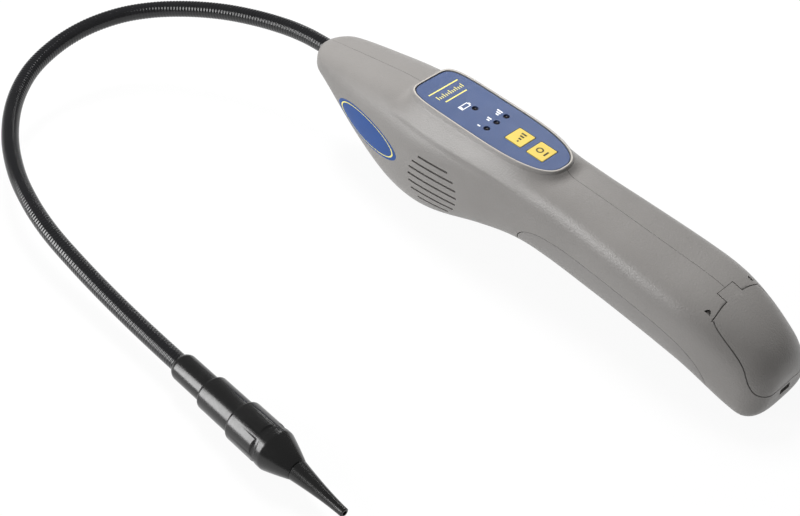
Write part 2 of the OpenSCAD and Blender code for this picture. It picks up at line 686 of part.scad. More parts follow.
// Sensor head. Its own frame runs along the head's axis from the end of the flexible probe.
housing_from = ferrule_length;
cap_from = housing_from + housing_length;
cone_from = cap_from + sleeve_length;
tip_from = cone_from + cone_length;
chamfer = 0.8;
spigot_d = 12;
spigot_length = 11;
fit_room = 0.1;
thread_d = 8.8;
thread_length = 6;
groove_from = cap_from + 4.5;
groove_width = 1.2;
ring_wire = 0.8;
can_d = 7;
can_length = 8;
base_t = 2.5;
filter_d = 6;
filter_t = 1.6;
tip_root_d = 8.2;
tip_spigot_d = 5;
tip_spigot = 3;
joint_gap = 0.3;
scoop_count = 6;
scoop_r = 2;
scoop_depth = 0.8;
curve_steps = 8;
module head_place() translate([head_x, head_y, head_z]) rotate([0, 90, head_yaw]) children();
module turned(points) rotate_extrude() polygon(points);

module probe_ferrule() color("black") head_place() turned([
    [neck_d / 2 + 0.05, 0], [ferrule_d / 2 - chamfer, 0], [ferrule_d / 2, 2 * chamfer],
    [ferrule_d / 2, ferrule_length - chamfer / 2], [ferrule_d / 2 - chamfer / 2, ferrule_length],
    [thread_d / 2, ferrule_length], [thread_d / 2, ferrule_length + thread_length],
    [thread_d / 2 - 2, ferrule_length + thread_length], [thread_d / 2 - 2, neck_end], [neck_d / 2 + 0.05, neck_end]
]);
module sensor_housing() color("black") head_place() difference() {
    turned([
        [thread_d / 2 + fit_room / 2, housing_from], [housing_d / 2 - chamfer, housing_from],
        [housing_d / 2, housing_from + chamfer], [housing_d / 2, cap_from - fit_room],
        [spigot_d / 2, cap_from - fit_room], [spigot_d / 2, cap_from + spigot_length],
        [can_d / 2 + 1, cap_from + spigot_length], [can_d / 2 + 1, housing_from + thread_length + 0.5],
        [thread_d / 2 + fit_room / 2, housing_from + thread_length + 0.5]
    ]);
    translate([0, 0, groove_from]) difference() {
        cylinder(d = spigot_d + 2, h = groove_width);
        cylinder(d = spigot_d - 2 * ring_wire + fit_room, h = groove_width);
    }
}
module sensor_o_ring() color("black") head_place() translate([0, 0, groove_from + groove_width / 2]) rotate_extrude()
    translate([spigot_d / 2 - ring_wire / 2 + fit_room / 2, 0]) circle(d = ring_wire);
module sensor_element() color("silver") head_place() {
    translate([0, 0, cap_from + spigot_length - base_t]) cylinder(d = can_d + 2 - fit_room, h = base_t);
    translate([0, 0, cap_from + spigot_length]) cylinder(d = can_d, h = can_length);
}
// Half width of the cap's cone and of the slim tip along their lengths
function cone_r(u) = tip_root_d / 2 + (cap_d - tip_root_d) / 2 * (1 - u) * (1 + 0.12 * u);
function tip_r(u) = tip_d / 2 + (tip_root_d - tip_d) / 2 * pow(1 - u, 1.5);
filter_from = tip_from - tip_spigot - filter_t;
module sensor_cap() color("black") head_place() difference() {
    turned(concat(
        [[spigot_d / 2 + fit_room, cap_from], [cap_d / 2 - chamfer, cap_from], [cap_d / 2, cap_from + chamfer]],
        [for (i = [0 : curve_steps]) [cone_r(i / curve_steps), cone_from + cone_length * i / curve_steps]],
        [
            [tip_spigot_d / 2 + fit_room / 2, tip_from], [tip_spigot_d / 2 + fit_room / 2, tip_from - tip_spigot],
            [filter_d / 2 + fit_room / 2, tip_from - tip_spigot], [filter_d / 2 + fit_room / 2, filter_from - 0.2],
            [can_d / 2 + 1.5, cone_from + 1], [can_d / 2 + 1.5, cap_from + spigot_length + 0.5],
            [spigot_d / 2 + fit_room, cap_from + spigot_length + 0.5]
        ]
    ));
    for (i = [0 : scoop_count - 1]) rotate(360 * (i + 0.5) / scoop_count)
        translate([cap_d / 2 + scoop_r - scoop_depth, 0, cone_from - 1.9 * scoop_r]) rotate([90, 0, 0])
            cylinder(r = scoop_r, h = cap_d, center = true);
}
module tip_filter() color("white") head_place() translate([0, 0, filter_from]) cylinder(d = filter_d, h = filter_t - 0.05);
module probe_tip() color("black") head_place() turned(concat(
    [[tip_bore_d / 2, tip_from - tip_spigot], [tip_spigot_d / 2, tip_from - tip_spigot], [tip_spigot_d / 2, tip_from + joint_gap]],
    [for (i = [0 : curve_steps]) [tip_r(i / curve_steps), tip_from + joint_gap + (tip_length - 0.6) * i / curve_steps]],
    [[tip_d / 2 - 0.4, tip_from + tip_length], [tip_bore_d / 2, tip_from + tip_length]]
));

// The row's origin is under the middle of the body
module place() translate([-body_length / 2, 0, 0]) children();

place() left_shell();
place() right_shell();
place() battery_door();
place() grip_pad();
place() side_label();
place() keypad_overlay();
place() power_key();
place() sensitivity_key();
place() led_at(led_places[0]);  // led_low_battery
place() led_at(led_places[1]);  // led_low
place() led_at(led_places[2]);  // led_normal
place() led_at(led_places[3]);  // led_high
place() main_board();
place() switch_at(power_key_x);  // power_switch
place() switch_at(sensitivity_key_x);  // sensitivity_switch
place() speaker();
place() front_cell();
place() rear_cell();
place() front_contact();
place() cell_spring();
place() pump_head();
place() pump_motor();
place() air_tube();
place() probe_gland();
place() case_screws();
place() gooseneck();
place() probe_ferrule();
place() sensor_housing();
place() sensor_o_ring();
place() sensor_element();
place() sensor_cap();
place() tip_filter();
place() probe_tip();
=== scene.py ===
# Dressed model of a handheld refrigerant leak detector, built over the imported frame
import math

import bpy
import numpy as np
from mathutils import Matrix, Vector


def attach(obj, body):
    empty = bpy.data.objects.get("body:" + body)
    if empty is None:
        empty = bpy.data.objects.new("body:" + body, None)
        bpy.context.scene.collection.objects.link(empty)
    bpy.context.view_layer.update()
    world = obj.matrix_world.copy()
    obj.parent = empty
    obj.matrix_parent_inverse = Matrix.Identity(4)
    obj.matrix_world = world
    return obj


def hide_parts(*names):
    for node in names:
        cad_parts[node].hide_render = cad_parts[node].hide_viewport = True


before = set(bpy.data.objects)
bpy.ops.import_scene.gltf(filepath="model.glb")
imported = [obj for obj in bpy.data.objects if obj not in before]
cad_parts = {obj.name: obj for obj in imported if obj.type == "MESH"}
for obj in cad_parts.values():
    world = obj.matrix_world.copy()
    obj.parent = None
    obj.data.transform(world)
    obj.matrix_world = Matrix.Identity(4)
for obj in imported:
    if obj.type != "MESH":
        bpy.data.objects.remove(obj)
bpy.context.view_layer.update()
scene = bpy.context.scene

# Camera, fitted to the photograph
CAM_AZIMUTH = math.radians(46.1)
CAM_ELEVATION = math.radians(42.3)
CAM_PLACE = Vector((0.274846, -0.338801, 0.386598))
FOCAL_PX = 1400.0
IMAGE_W = 800.0
SENSOR_W = 36.0
CLIP_NEAR = 0.01

cam_data = bpy.data.cameras.new("camera")
cam_data.sensor_fit = "HORIZONTAL"
cam_data.sensor_width = SENSOR_W
cam_data.lens = FOCAL_PX / IMAGE_W * SENSOR_W
cam_data.clip_start = CLIP_NEAR
camera = bpy.data.objects.new("camera", cam_data)
scene.collection.objects.link(camera)
right = Vector((math.cos(CAM_AZIMUTH), math.sin(CAM_AZIMUTH), 0))
back = Vector((
    math.sin(CAM_AZIMUTH) * math.cos(CAM_ELEVATION),
    -math.cos(CAM_AZIMUTH) * math.cos(CAM_ELEVATION),
    math.sin(CAM_ELEVATION),
))
up = back.cross(right)
camera.matrix_world = Matrix.Translation(CAM_PLACE) @ Matrix((right, up, back)).transposed().to_4x4()
scene.camera = camera

# Sizes in millimetres, measured from the nose, as in the solids
MM = 0.001
HEAD = 148.0
HANDLE = 100.0
LENGTH = HEAD + HANDLE
HEAD_W = 45.2
WAIST_W = 35.6
PALM_W = 39.6
NOSE_TOP = 43.0
HEAD_TOP = 49.6
WAIST_TOP = 46.4
PALM_TOP = 39.7
WALL = 2.2
NOSE_WALL = 12.0


def at_head(share):
    return share * HEAD


def at_handle(share):
    return HEAD + share * HANDLE


TOP_LINE = [
    (0, NOSE_TOP), (at_head(0.23), NOSE_TOP + 4.4), (at_head(0.39), HEAD_TOP),
    (at_head(0.68), HEAD_TOP - 0.6), (HEAD, WAIST_TOP), (at_handle(0.66), PALM_TOP), (LENGTH, PALM_TOP - 3.4),
]
BOTTOM_LINE = [
    (0, NOSE_TOP - 9), (at_head(0.095), NOSE_TOP - 14), (at_head(0.243), 13.5), (at_head(0.372), 2.5),
    (at_head(0.473), -0.6), (at_head(0.574), 1.2), (at_head(0.736), 8.9), (at_head(0.878), WAIST_TOP - 33),
    (at_handle(0.02), WAIST_TOP - 33.8), (at_handle(0.61), PALM_TOP - 33.1),
    (at_handle(0.84), 1), (at_handle(0.92), -0.2), (LENGTH, -0.2),
]
HALF_LINE = [
    (0, 8.4), (at_head(0.068), 13), (at_head(0.236), HEAD_W / 2 - 4.1), (at_head(0.385), HEAD_W / 2 - 1.1),
    (at_head(0.507), HEAD_W / 2), (at_head(0.608), HEAD_W / 2 - 0.6), (at_head(0.81), WAIST_W / 2 + 1.2),
    (HEAD, WAIST_W / 2), (at_handle(0.2), WAIST_W / 2 + 0.6), (at_handle(0.6), PALM_W / 2),
    (at_handle(0.82), PALM_W / 2 - 1), (LENGTH, PALM_W / 2 - 2.8),
]
TOP_POWER = [(0, 3), (at_head(0.4), 3.2), (at_handle(0.67), 3.2), (LENGTH, 2.4)]
BOTTOM_POWER = [(0, 2.4), (at_head(0.4), 2.6), (at_head(0.95), 3.2), (at_handle(0.52), 3.2), (LENGTH, 2.8)]
TOP_LEAN = [(0, 0.05), (at_head(0.68), 0.05), (HEAD, 0), (at_handle(0.64), 0), (LENGTH, 0.25)]
NOSE_ROUND = 8.0
NOSE_PULL = 0.3
TAIL_ROUND = 9.0
TAIL_HEEL = 7.0
TAIL_LENGTH = 45.0
TAIL_FALL = 21.0


def curve(line, x):
    """Smooth curve through a line's stations."""
    t = np.array(line, float)
    x = np.asarray(x, float)
    last = len(t) - 1
    i = np.clip(np.searchsorted(t[:, 0], x, side="left") - 1, 0, last - 1)

    def slope(k):
        a = np.maximum(0, k - 1)
        b = np.minimum(last, k + 1)
        return (t[b, 1] - t[a, 1]) / (t[b, 0] - t[a, 0])

    h = t[i + 1, 0] - t[i, 0]
    u = (x - t[i, 0]) / h
    v = u * u
    w = v * u
    return (
        (2 * w - 3 * v + 1) * t[i, 1] + (w - 2 * v + u) * h * slope(i)
        + (3 * v - 2 * w) * t[i + 1, 1] + (w - v) * h * slope(i + 1)
    )


def edge_round(d, r):
    d = np.clip(np.asarray(d, float), 0, r)
    return r - np.sqrt(np.maximum(0, r * r - (r - d) ** 2))


def top_z(x):
    u = np.clip((np.asarray(x, float) - LENGTH + TAIL_LENGTH) / TAIL_LENGTH, 0, 1)
    return curve(TOP_LINE, x) - TAIL_FALL * (1 - np.sqrt(1 - u * u)) - NOSE_PULL * edge_round(x, NOSE_ROUND)


def bottom_z(x):
    x = np.asarray(x, float)
    return curve(BOTTOM_LINE, x) + edge_round(LENGTH - x, TAIL_HEEL) + NOSE_PULL * edge_round(x, NOSE_ROUND)


def half_w(x):
    x = np.asarray(x, float)
    return curve(HALF_LINE, x) - edge_round(x, NOSE_ROUND) - edge_round(LENGTH - x, TAIL_ROUND)


def power_of(x, above):
    return np.where(above, curve(TOP_POWER, x), curve(BOTTOM_POWER, x))


def body_point(x, a, m):
    """Points on the body at stations x and angles a in degrees, a depth m inside."""
    x = np.asarray(x, float)
    c = np.cos(np.radians(a))
    s = np.sin(np.radians(a))
    zt = top_z(x) - m
    zb = bottom_z(x) + m
    n = power_of(x, s > 0)
    sy = np.sign(c) * np.abs(c) ** (2 / n)
    sz = np.sign(s) * np.abs(s) ** (2 / n)
    y = (half_w(x) - m) * sy * (1 - curve(TOP_LEAN, x) * sz)
    z = np.maximum(m, (zt + zb) / 2 + (zt - zb) / 2 * sz)
    x = x - m * np.maximum(0, x - LENGTH + TAIL_ROUND) / TAIL_ROUND
    return np.stack(np.broadcast_arrays(x, y, z), -1)


def side_y(x, z, m):
    zt = top_z(x) - m
    zb = bottom_z(x) + m
    sz = (z - (zt + zb) / 2) / ((zt - zb) / 2)
    n = power_of(x, sz > 0)
    return (half_w(x) - m) * np.maximum(0, 1 - np.abs(sz) ** n) ** (1 / n) * (1 - curve(TOP_LEAN, x) * sz)


# Keypad frame: origin at the middle of the overlay's top, X along the slope
KEYPAD_X = HEAD - 46.7
KEYPAD_Z = HEAD_TOP + 1.9
KEYPAD_TILT = math.radians(2.95)
OVERLAY_L = 73.4
OVERLAY_W = 24.8
OVERLAY_T = 0.8
RIM = 1.4
RIM_H = 0.3
POD_FLARE = 0.41
FRONT_SQUARE = 6.0
REAR_SQUARE = 2.7


def keypad(points):
    p = np.asarray(points, float)
    c = math.cos(KEYPAD_TILT)
    s = math.sin(KEYPAD_TILT)
    return np.stack([
        KEYPAD_X + p[..., 0] * c + p[..., 2] * s, p[..., 1], KEYPAD_Z - p[..., 0] * s + p[..., 2] * c,
    ], -1)


def level_ring(points, z):
    """Outline in the keypad's plane, at a height z over the overlay."""
    return keypad(np.column_stack([points, np.full(len(points), z)]))


def outline(g, count):
    """Outline of the overlay, moved out by g."""
    a = np.linspace(0, 2 * math.pi, count, endpoint=False)
    c = np.cos(a)
    s = np.sin(a)
    p = 2 / np.where(c < 0, FRONT_SQUARE, REAR_SQUARE)
    return np.stack([
        (OVERLAY_L / 2 + g) * np.sign(c) * np.abs(c) ** p,
        (OVERLAY_W / 2 + g) * np.sign(s) * np.abs(s) ** p,
    ], -1)


def evened(points, count):
    """The same closed outline with its points evenly spaced."""
    p = np.vstack([points, points[:1]])
    d = np.concatenate([[0], np.cumsum(np.linalg.norm(np.diff(p, axis=0), axis=1))])
    t = np.linspace(0, d[-1], count, endpoint=False)
    return np.stack([np.interp(t, d, p[:, k]) for k in range(p.shape[1])], -1)


# Outer surface of the body with the pod blended into it
POD_TOP = -0.95
POD_FOOT = -8.0
POD_INSET = 0.04
BLEND = 3.4
EDGE_BLEND = 0.5
LEAST_WIDTH = 0.2
LEAN_REACH = 1.2
TINY = 1e-6
RAY_FAR = 41.0
RAY_STEP = 0.6
RAY_LEAST = 0.01
HALVINGS = 26


def pod_field(x, y, z):
    c = math.cos(KEYPAD_TILT)
    s = math.sin(KEYPAD_TILT)
    lx = (x - KEYPAD_X) * c - (z - KEYPAD_Z) * s
    lz = (x - KEYPAD_X) * s + (z - KEYPAD_Z) * c
    half_l = OVERLAY_L / 2 + RIM - POD_INSET
    half_b = OVERLAY_W / 2 + RIM - POD_INSET
    p = np.where(lx < 0, FRONT_SQUARE, REAR_SQUARE)
    u = np.abs(lx) / half_l
    v = np.abs(y) / half_b
    g = np.maximum((u ** p + v ** p) ** (1 / p), TINY)
    gx = (u / g) ** (p - 1) / half_l
    gy = (v / g) ** (p - 1) / half_b
    d = (g - 1) / np.sqrt(gx * gx + gy * gy)
    wall = (d + POD_FLARE * np.minimum(lz, 0)) / math.hypot(1, POD_FLARE)
    top = np.maximum(lz - POD_TOP, POD_FOOT - lz)
    h = np.maximum(EDGE_BLEND - np.abs(wall - top), 0) / EDGE_BLEND
    return np.maximum(wall, top) + h * h * EDGE_BLEND / 4


def body_field(x, y, z):
    zt = top_z(x)
    zb = bottom_z(x)
    zc = (zt + zb) / 2
    sz = (z - zc) / ((zt - zb) / 2)
    lean = curve(TOP_LEAN, x) * np.clip(sz, -LEAN_REACH, LEAN_REACH)
    sy = y / (half_w(x) * np.maximum(LEAST_WIDTH, 1 - lean))
    n = power_of(x, sz > 0)
    f = (np.abs(sy) ** n + np.abs(sz) ** n) ** (1 / n)
    return np.hypot(y, z - zc) * (1 - 1 / np.maximum(f, TINY))


def skin_field(x, y, z):
    a = body_field(x, y, z)
    b = pod_field(x, y, z)
    h = np.maximum(BLEND - np.abs(a - b), 0) / BLEND
    return np.minimum(a, b) - h * h * BLEND / 4


def surface_rings(stations, angles):
    """Points of the outer surface on rays from the middle of each section."""
    x = np.asarray(stations, float)[:, None]
    a = np.radians(np.asarray(angles, float))[None, :]
    zc = (top_z(x) + bottom_z(x)) / 2
    cy = np.cos(a)
    cz = np.sin(a)

    def value(r):
        return skin_field(x + 0 * r, r * cy, zc + r * cz)

    far = np.full(np.broadcast_shapes(x.shape, a.shape), RAY_FAR)
    near = np.zeros_like(far)
    outside = np.ones(far.shape, bool)
    for r in np.arange(RAY_FAR, 0.0, -RAY_STEP):
        ray = np.full(far.shape, r)
        inside = value(ray) < 0
        hit = outside & inside
        near[hit] = r
        far[hit] = r + RAY_STEP
        outside &= ~inside
    far[outside] = RAY_LEAST
    for _ in range(HALVINGS):
        mid = (near + far) / 2
        inside = value(mid) < 0
        near = np.where(inside, mid, near)
        far = np.where(inside, far, mid)
    r = (near + far) / 2
    return np.stack(np.broadcast_arrays(x, r * cy, np.maximum(0, zc + r * cz)), -1)


# Mesh building
def to_row(points):
    """Millimetres from the nose to metres in the row's frame."""
    p = np.asarray(points, float).reshape(-1, 3).copy()
    p[:, 0] -= LENGTH / 2
    return p * MM


def volume_of(points, faces):
    """Signed volume, positive where the faces look outward."""
    total = 0.0
    for f in faces:
        p = points[list(f)]
        total += np.sum(np.cross(p[1:-1], p[2:]) @ p[0])
    return total / 6


def linked(name, points, faces):
    mesh = bpy.data.meshes.new(name)
    mesh.from_pydata(points, [], faces)
    mesh.update()
    obj = bpy.data.objects.new(name, mesh)
    scene.collection.objects.link(obj)
    return obj


def new_object(name, points, faces):
    """Object with its faces turned outward."""
    points = to_row(points)
    if volume_of(points, faces) < 0:
        faces = [f[::-1] for f in faces]
    return linked(name, [tuple(v) for v in points], faces)


def loft(name, rings, sheet=False, ring_closed=False):
    """Closed mesh over rings of points. A sheet's rings run out along one face and back along the other."""
    rings = np.asarray(rings, float)
    count, n = rings.shape[:2]
    faces = []
    for j in range(count if ring_closed else count - 1):
        p = j * n
        q = (j + 1) % count * n
        faces += [(p + i, q + i, q + (i + 1) % n, p + (i + 1) % n) for i in range(n)]
    if not ring_closed:
        if sheet:
            end = [(i, i + 1, n - 2 - i, n - 1 - i) for i in range(n // 2 - 1)]
        else:
            end = [tuple(range(n))]
        base = (count - 1) * n
        faces += end
        faces += [tuple(base + i for i in reversed(f)) for f in end]
    return new_object(name, rings.reshape(-1, 3), faces)


def prism(name, points, low, high):
    """Prism over an outline in the keypad's plane, between two heights."""
    return loft(name, [level_ring(points, z) for z in (low, high)])


def joined(name, objects):
    """One object from several, which are removed."""
    points = []
    faces = []
    base = 0
    for o in objects:
        points += [v.co.copy() for v in o.data.vertices]
        faces += [tuple(base + i for i in f.vertices) for f in o.data.polygons]
        base += len(o.data.vertices)
        bpy.data.objects.remove(o)
    return linked(name, points, faces)


LEAST_FACES = 4


def boolean(target, tool, operation):
    """Target after a boolean with the tool, which is removed."""
    mod = target.modifiers.new("cut", "BOOLEAN")
    mod.operation = operation
    mod.object = tool
    mod.solver = "MANIFOLD"
    bpy.context.view_layer.update()
    graph = bpy.context.evaluated_depsgraph_get()
    mesh = bpy.data.meshes.new_from_object(target.evaluated_get(graph))
    target.modifiers.clear()
    if len(mesh.polygons) < LEAST_FACES:
        raise RuntimeError("boolean on " + target.name + " with " + tool.name + " gave nothing")
    old = target.data
    target.data = mesh
    bpy.data.meshes.remove(old)
    bpy.data.objects.remove(tool)
    return target


def cut(target, tool):
    return boolean(target, tool, "DIFFERENCE")


def side_view(y, points):
    """Points of a side-view outline (x, z) at a distance y across the body."""
    p = np.asarray(points, float)
    return np.column_stack([p[:, 0], np.full(len(p), y), p[:, 1]])


def side_prism(name, points, y0, y1):
    """Prism over a side-view outline between two distances across the body."""
    p = np.asarray(points, float)
    area = np.sum(p[:, 0] * np.roll(p[:, 1], -1) - np.roll(p[:, 0], -1) * p[:, 1])
    if area < 0:
        p = p[::-1]
    return loft(name, [side_view(y1, p), side_view(y0, p)])


def circle(x, z, r, count=48):
    a = np.linspace(0, 2 * math.pi, count, endpoint=False)
    return np.column_stack([x + r * np.cos(a), z + r * np.sin(a)])


def rectangle(x0, z0, x1, z1):
    return np.array([(x0, z0), (x1, z0), (x1, z1), (x0, z1)], float)


def rounded_rect(cx, cy, w, h, r, steps=6):
    pts = []
    for k, (sx, sy) in enumerate(((1, 1), (-1, 1), (-1, -1), (1, -1))):
        for i in range(steps + 1):
            a = math.radians(90 * k + 90 * i / steps)
            pts.append((cx + sx * (w / 2 - r) + r * math.cos(a), cy + sy * (h / 2 - r) + r * math.sin(a)))
    return np.array(pts)


def finish_piece(obj, material, body, replaces=(), angle=32):
    obj.data.materials.clear()
    obj.data.materials.append(material)
    obj.data.shade_smooth()
    obj.data.set_sharp_from_angle(angle=math.radians(angle))
    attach(obj, body)
    if replaces:
        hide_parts(*replaces)
    return obj


# Materials
COAT_ROUGH = 0.12
BROAD_DETAIL = 6.0
FINE_DETAIL = 3.0
TINT_RANGE = (0.3, 0.7)
LEAST_ROUGH = 0.02


def material(name, color, rough, grain=1500.0, depth=0.0, tint=0.05, tint_scale=60.0, rough_vary=0.06,
             coat=0.0, metallic=0.0, specular=0.5):
    """Base colour, roughness and relief, each varied by noise at its own scale."""
    m = bpy.data.materials.new(name)
    m.use_nodes = True
    nodes = m.node_tree.nodes
    links = m.node_tree.links
    shader = nodes["Principled BSDF"]
    shader.inputs["Metallic"].default_value = metallic
    shader.inputs["Specular IOR Level"].default_value = specular
    shader.inputs["Coat Weight"].default_value = coat
    shader.inputs["Coat Roughness"].default_value = COAT_ROUGH
    place = nodes.new("ShaderNodeTexCoord")
    broad = nodes.new("ShaderNodeTexNoise")
    broad.inputs["Scale"].default_value = tint_scale
    broad.inputs["Detail"].default_value = BROAD_DETAIL
    links.new(place.outputs["Object"], broad.inputs["Vector"])
    ramp = nodes.new("ShaderNodeValToRGB")
    for stop, at, share in zip(ramp.color_ramp.elements, TINT_RANGE, (1 - tint, 1 + tint)):
        stop.position = at
        stop.color = (*(min(1.0, c * share) for c in color), 1)
    links.new(broad.outputs["Fac"], ramp.inputs["Fac"])
    links.new(ramp.outputs["Color"], shader.inputs["Base Color"])
    fine = nodes.new("ShaderNodeTexNoise")
    fine.inputs["Scale"].default_value = grain
    fine.inputs["Detail"].default_value = FINE_DETAIL
    links.new(place.outputs["Object"], fine.inputs["Vector"])
    gloss = nodes.new("ShaderNodeMapRange")
    gloss.inputs["To Min"].default_value = max(LEAST_ROUGH, rough - rough_vary)
    gloss.inputs["To Max"].default_value = min(1.0, rough + rough_vary)
    links.new(fine.outputs["Fac"], gloss.inputs["Value"])
    links.new(gloss.outputs["Result"], shader.inputs["Roughness"])
    if depth:
        bump = nodes.new("ShaderNodeBump")
        bump.inputs["Strength"].default_value = 1.0
        bump.inputs["Distance"].default_value = depth
        links.new(fine.outputs["Fac"], bump.inputs["Height"])
        links.new(bump.outputs["Normal"], shader.inputs["Normal"])
    return m


BODY = material("body_plastic", (0.232, 0.222, 0.213), 0.40, 1500.0, 0.00013, 0.05, 38.0, 0.10)
GRIP = material("grip_plastic", (0.228, 0.219, 0.212), 0.44, 1700.0, 0.00012, 0.05, 38.0, 0.08)
# Paler than the body: this colour is a painted highlight along the keypad rim, not a different plastic
PAINTED_HIGHLIGHT_LIP = material("lip_painted_highlight", (0.440, 0.415, 0.380), 0.42, 1500.0, 0.00006, 0.06, 60.0, 0.08)
OVERLAY = material("overlay_film", (0.062, 0.092, 0.192), 0.40, 4000.0, 0.00002, 0.05, 90.0, 0.06)
LABEL = material("label_film", (0.008, 0.062, 0.255), 0.38, 4000.0, 0.00001, 0.05, 90.0, 0.05, specular=0.3)
KEY = material("key_yellow", (0.640, 0.485, 0.095), 0.38, 4000.0, 0.00002, 0.04, 120.0, 0.06)
RULE = material("rule_yellow", (0.800, 0.720, 0.210), 0.42, 4000.0, 0.0, 0.03, 200.0, 0.05)
MARK_WHITE = material("mark_white", (0.780, 0.800, 0.820), 0.45, 4000.0, 0.0, 0.03, 200.0, 0.05)
MARK_DARK = material("mark_dark", (0.040, 0.030, 0.015), 0.45, 4000.0, 0.0, 0.05, 200.0, 0.05)
LAMP = material("lamp_lens", (0.012, 0.008, 0.010), 0.12, 900.0, 0.0, 0.1, 300.0, 0.04, coat=0.5)
BOARD = material("board_green", (0.020, 0.120, 0.050), 0.40, 2500.0, 0.00003, 0.10, 400.0, 0.08)
BLACK = material("black_plastic", (0.018, 0.018, 0.019), 0.45, 2500.0, 0.00003, 0.08, 80.0, 0.08)
CONE = material("speaker_cone", (0.022, 0.021, 0.020), 0.70, 1800.0, 0.00006, 0.12, 200.0, 0.10)
STEEL = material("plated_steel", (0.620, 0.610, 0.590), 0.26, 900.0, 0.00001, 0.05, 150.0, 0.08, metallic=1.0)
WRAP = material("cell_wrap", (0.030, 0.032, 0.036), 0.22, 3000.0, 0.00001, 0.08, 60.0, 0.05, coat=0.4)
TUBE = material("soft_tube", (0.640, 0.630, 0.590), 0.30, 1200.0, 0.00002, 0.04, 100.0, 0.06)
SHEATH = material("sheath_black", (0.008, 0.008, 0.009), 0.17, 900.0, 0.000004, 0.12, 120.0, 0.05)
PROBE = material("probe_black", (0.008, 0.008, 0.008), 0.24, 700.0, 0.000006, 0.10, 90.0, 0.06)
RUBBER = material("ring_rubber", (0.012, 0.012, 0.012), 0.60, 2500.0, 0.00003, 0.10, 100.0, 0.08)
FELT = material("filter_felt", (0.760, 0.750, 0.710), 0.90, 3500.0, 0.00020, 0.06, 300.0, 0.05)

# Gooseneck, a ribbed sheath swept along its route
NECK_R = 3.75
NECK_Z = NOSE_TOP - 5
RIB_PITCH = 1.5
RIB_DEPTH = 0.2
RIB_SHAPE = 0.8
NECK_SIDES = 28
RIB_STEPS = 6
ROUTE_STEPS = 24
HEAD_PLACE = np.array([85.5, -149.7, 8.3])
HEAD_YAW = math.radians(-1.32)
HEAD_AXIS = np.array([math.cos(HEAD_YAW), math.sin(HEAD_YAW), 0])
HEAD_ACROSS = np.array([-math.sin(HEAD_YAW), math.cos(HEAD_YAW), 0])
UPWARD = np.array([0, 0, 1.0])
NECK_END = 8.0
NECK_ROUTE = [
    (18, 0, 38), (8, 0, 38), (-4, 0, 38), (-14, -0.6, 38), (-26, -2.6, 37.7), (-41, -6.8, 37),
    (-57, -13.4, 36), (-72, -22.4, 34.6), (-85, -33.6, 33), (-94, -46.6, 31.4), (-98.6, -62.4, 29.6),
    (-98, -79.4, 27.6), (-92, -97, 25.4), (-80, -113.2, 22.8), (-63, -126.8, 20.2), (-44, -136.4, 17.6),
    (-25, -142.2, 15.4), (-6, -145.6, 13.4), (15, -147.4, 11.6), (35, -148.4, 10), (54, -149, 8.9),
    (71, -149.4, 8.4), tuple(HEAD_PLACE), tuple(HEAD_PLACE + HEAD_AXIS * NECK_END),
]


def smooth_path(points, per_span):
    """Smooth curve through the points, with evenly timed steps in each span."""
    p = np.array(points, float)
    out = []
    for i in range(len(p) - 1):
        a = p[max(0, i - 1)]
        b = p[i]
        c = p[i + 1]
        d = p[min(len(p) - 1, i + 2)]
        square = 2 * a - 5 * b + 4 * c - d
        cube = 3 * b - a - 3 * c + d
        for k in range(per_span):
            u = k / per_span
            out.append(0.5 * (2 * b + (c - a) * u + square * u * u + cube * u ** 3))
    out.append(p[-1])
    return np.array(out)


def even_path(path, step):
    """The same path in even steps, and the distance along it at each."""
    d = np.concatenate([[0], np.cumsum(np.linalg.norm(np.diff(path, axis=0), axis=1))])
    count = max(2, int(round(d[-1] / step)))
    t = np.linspace(0, d[-1], count + 1)
    return np.stack([np.interp(t, d, path[:, k]) for k in range(3)], -1), t


def sweep_rings(path, radii, sides):
    tangent = np.gradient(path, axis=0)
    tangent /= np.linalg.norm(tangent, axis=1)[:, None]
    side = np.cross(UPWARD, tangent)
    side /= np.linalg.norm(side, axis=1)[:, None]
    over = np.cross(tangent, side)
    a = np.linspace(0, 2 * math.pi, sides, endpoint=False)
    ring = np.cos(a)[None, :, None] * side[:, None, :] + np.sin(a)[None, :, None] * over[:, None, :]
    return path[:, None, :] + np.asarray(radii)[:, None, None] * ring


neck_path, neck_s = even_path(smooth_path(NECK_ROUTE, ROUTE_STEPS), RIB_PITCH / RIB_STEPS)
rib = np.abs(np.sin(math.pi * neck_s / RIB_PITCH)) ** RIB_SHAPE
neck = loft("gooseneck_sheath", sweep_rings(neck_path, NECK_R - RIB_DEPTH * (1 - rib), NECK_SIDES))
finish_piece(neck, SHEATH, "body", ("gooseneck",), 60)


# Sensor head, turned round its own axis
CORNER_STEPS = 5
CORNER_SHARE = 0.45


def rounded_profile(points):
    """Profile of (radius, length, corner radius) points with its corners rounded."""
    p = np.array([q[:2] for q in points], float)
    out = []
    for i, q in enumerate(points):
        r = q[2] if len(q) > 2 else 0
        if not r:
            out.append(p[i])
            continue
        a = p[i - 1] - p[i]
        b = p[(i + 1) % len(p)] - p[i]
        la = np.linalg.norm(a)
        lb = np.linalg.norm(b)
        trim = min(r, CORNER_SHARE * la, CORNER_SHARE * lb)
        start = p[i] + a / la * trim
        end = p[i] + b / lb * trim
        for k in range(CORNER_STEPS + 1):
            u = k / CORNER_STEPS
            out.append((1 - u) ** 2 * start + 2 * u * (1 - u) * p[i] + u * u * end)
    return np.array(out)


def head_put(p):
    """Points of the sensor head, with their third value along its axis, in the body's frame."""
    p = np.asarray(p, float)
    return HEAD_PLACE + p[:, :1] * HEAD_ACROSS + p[:, 1:2] * UPWARD + p[:, 2:] * HEAD_AXIS


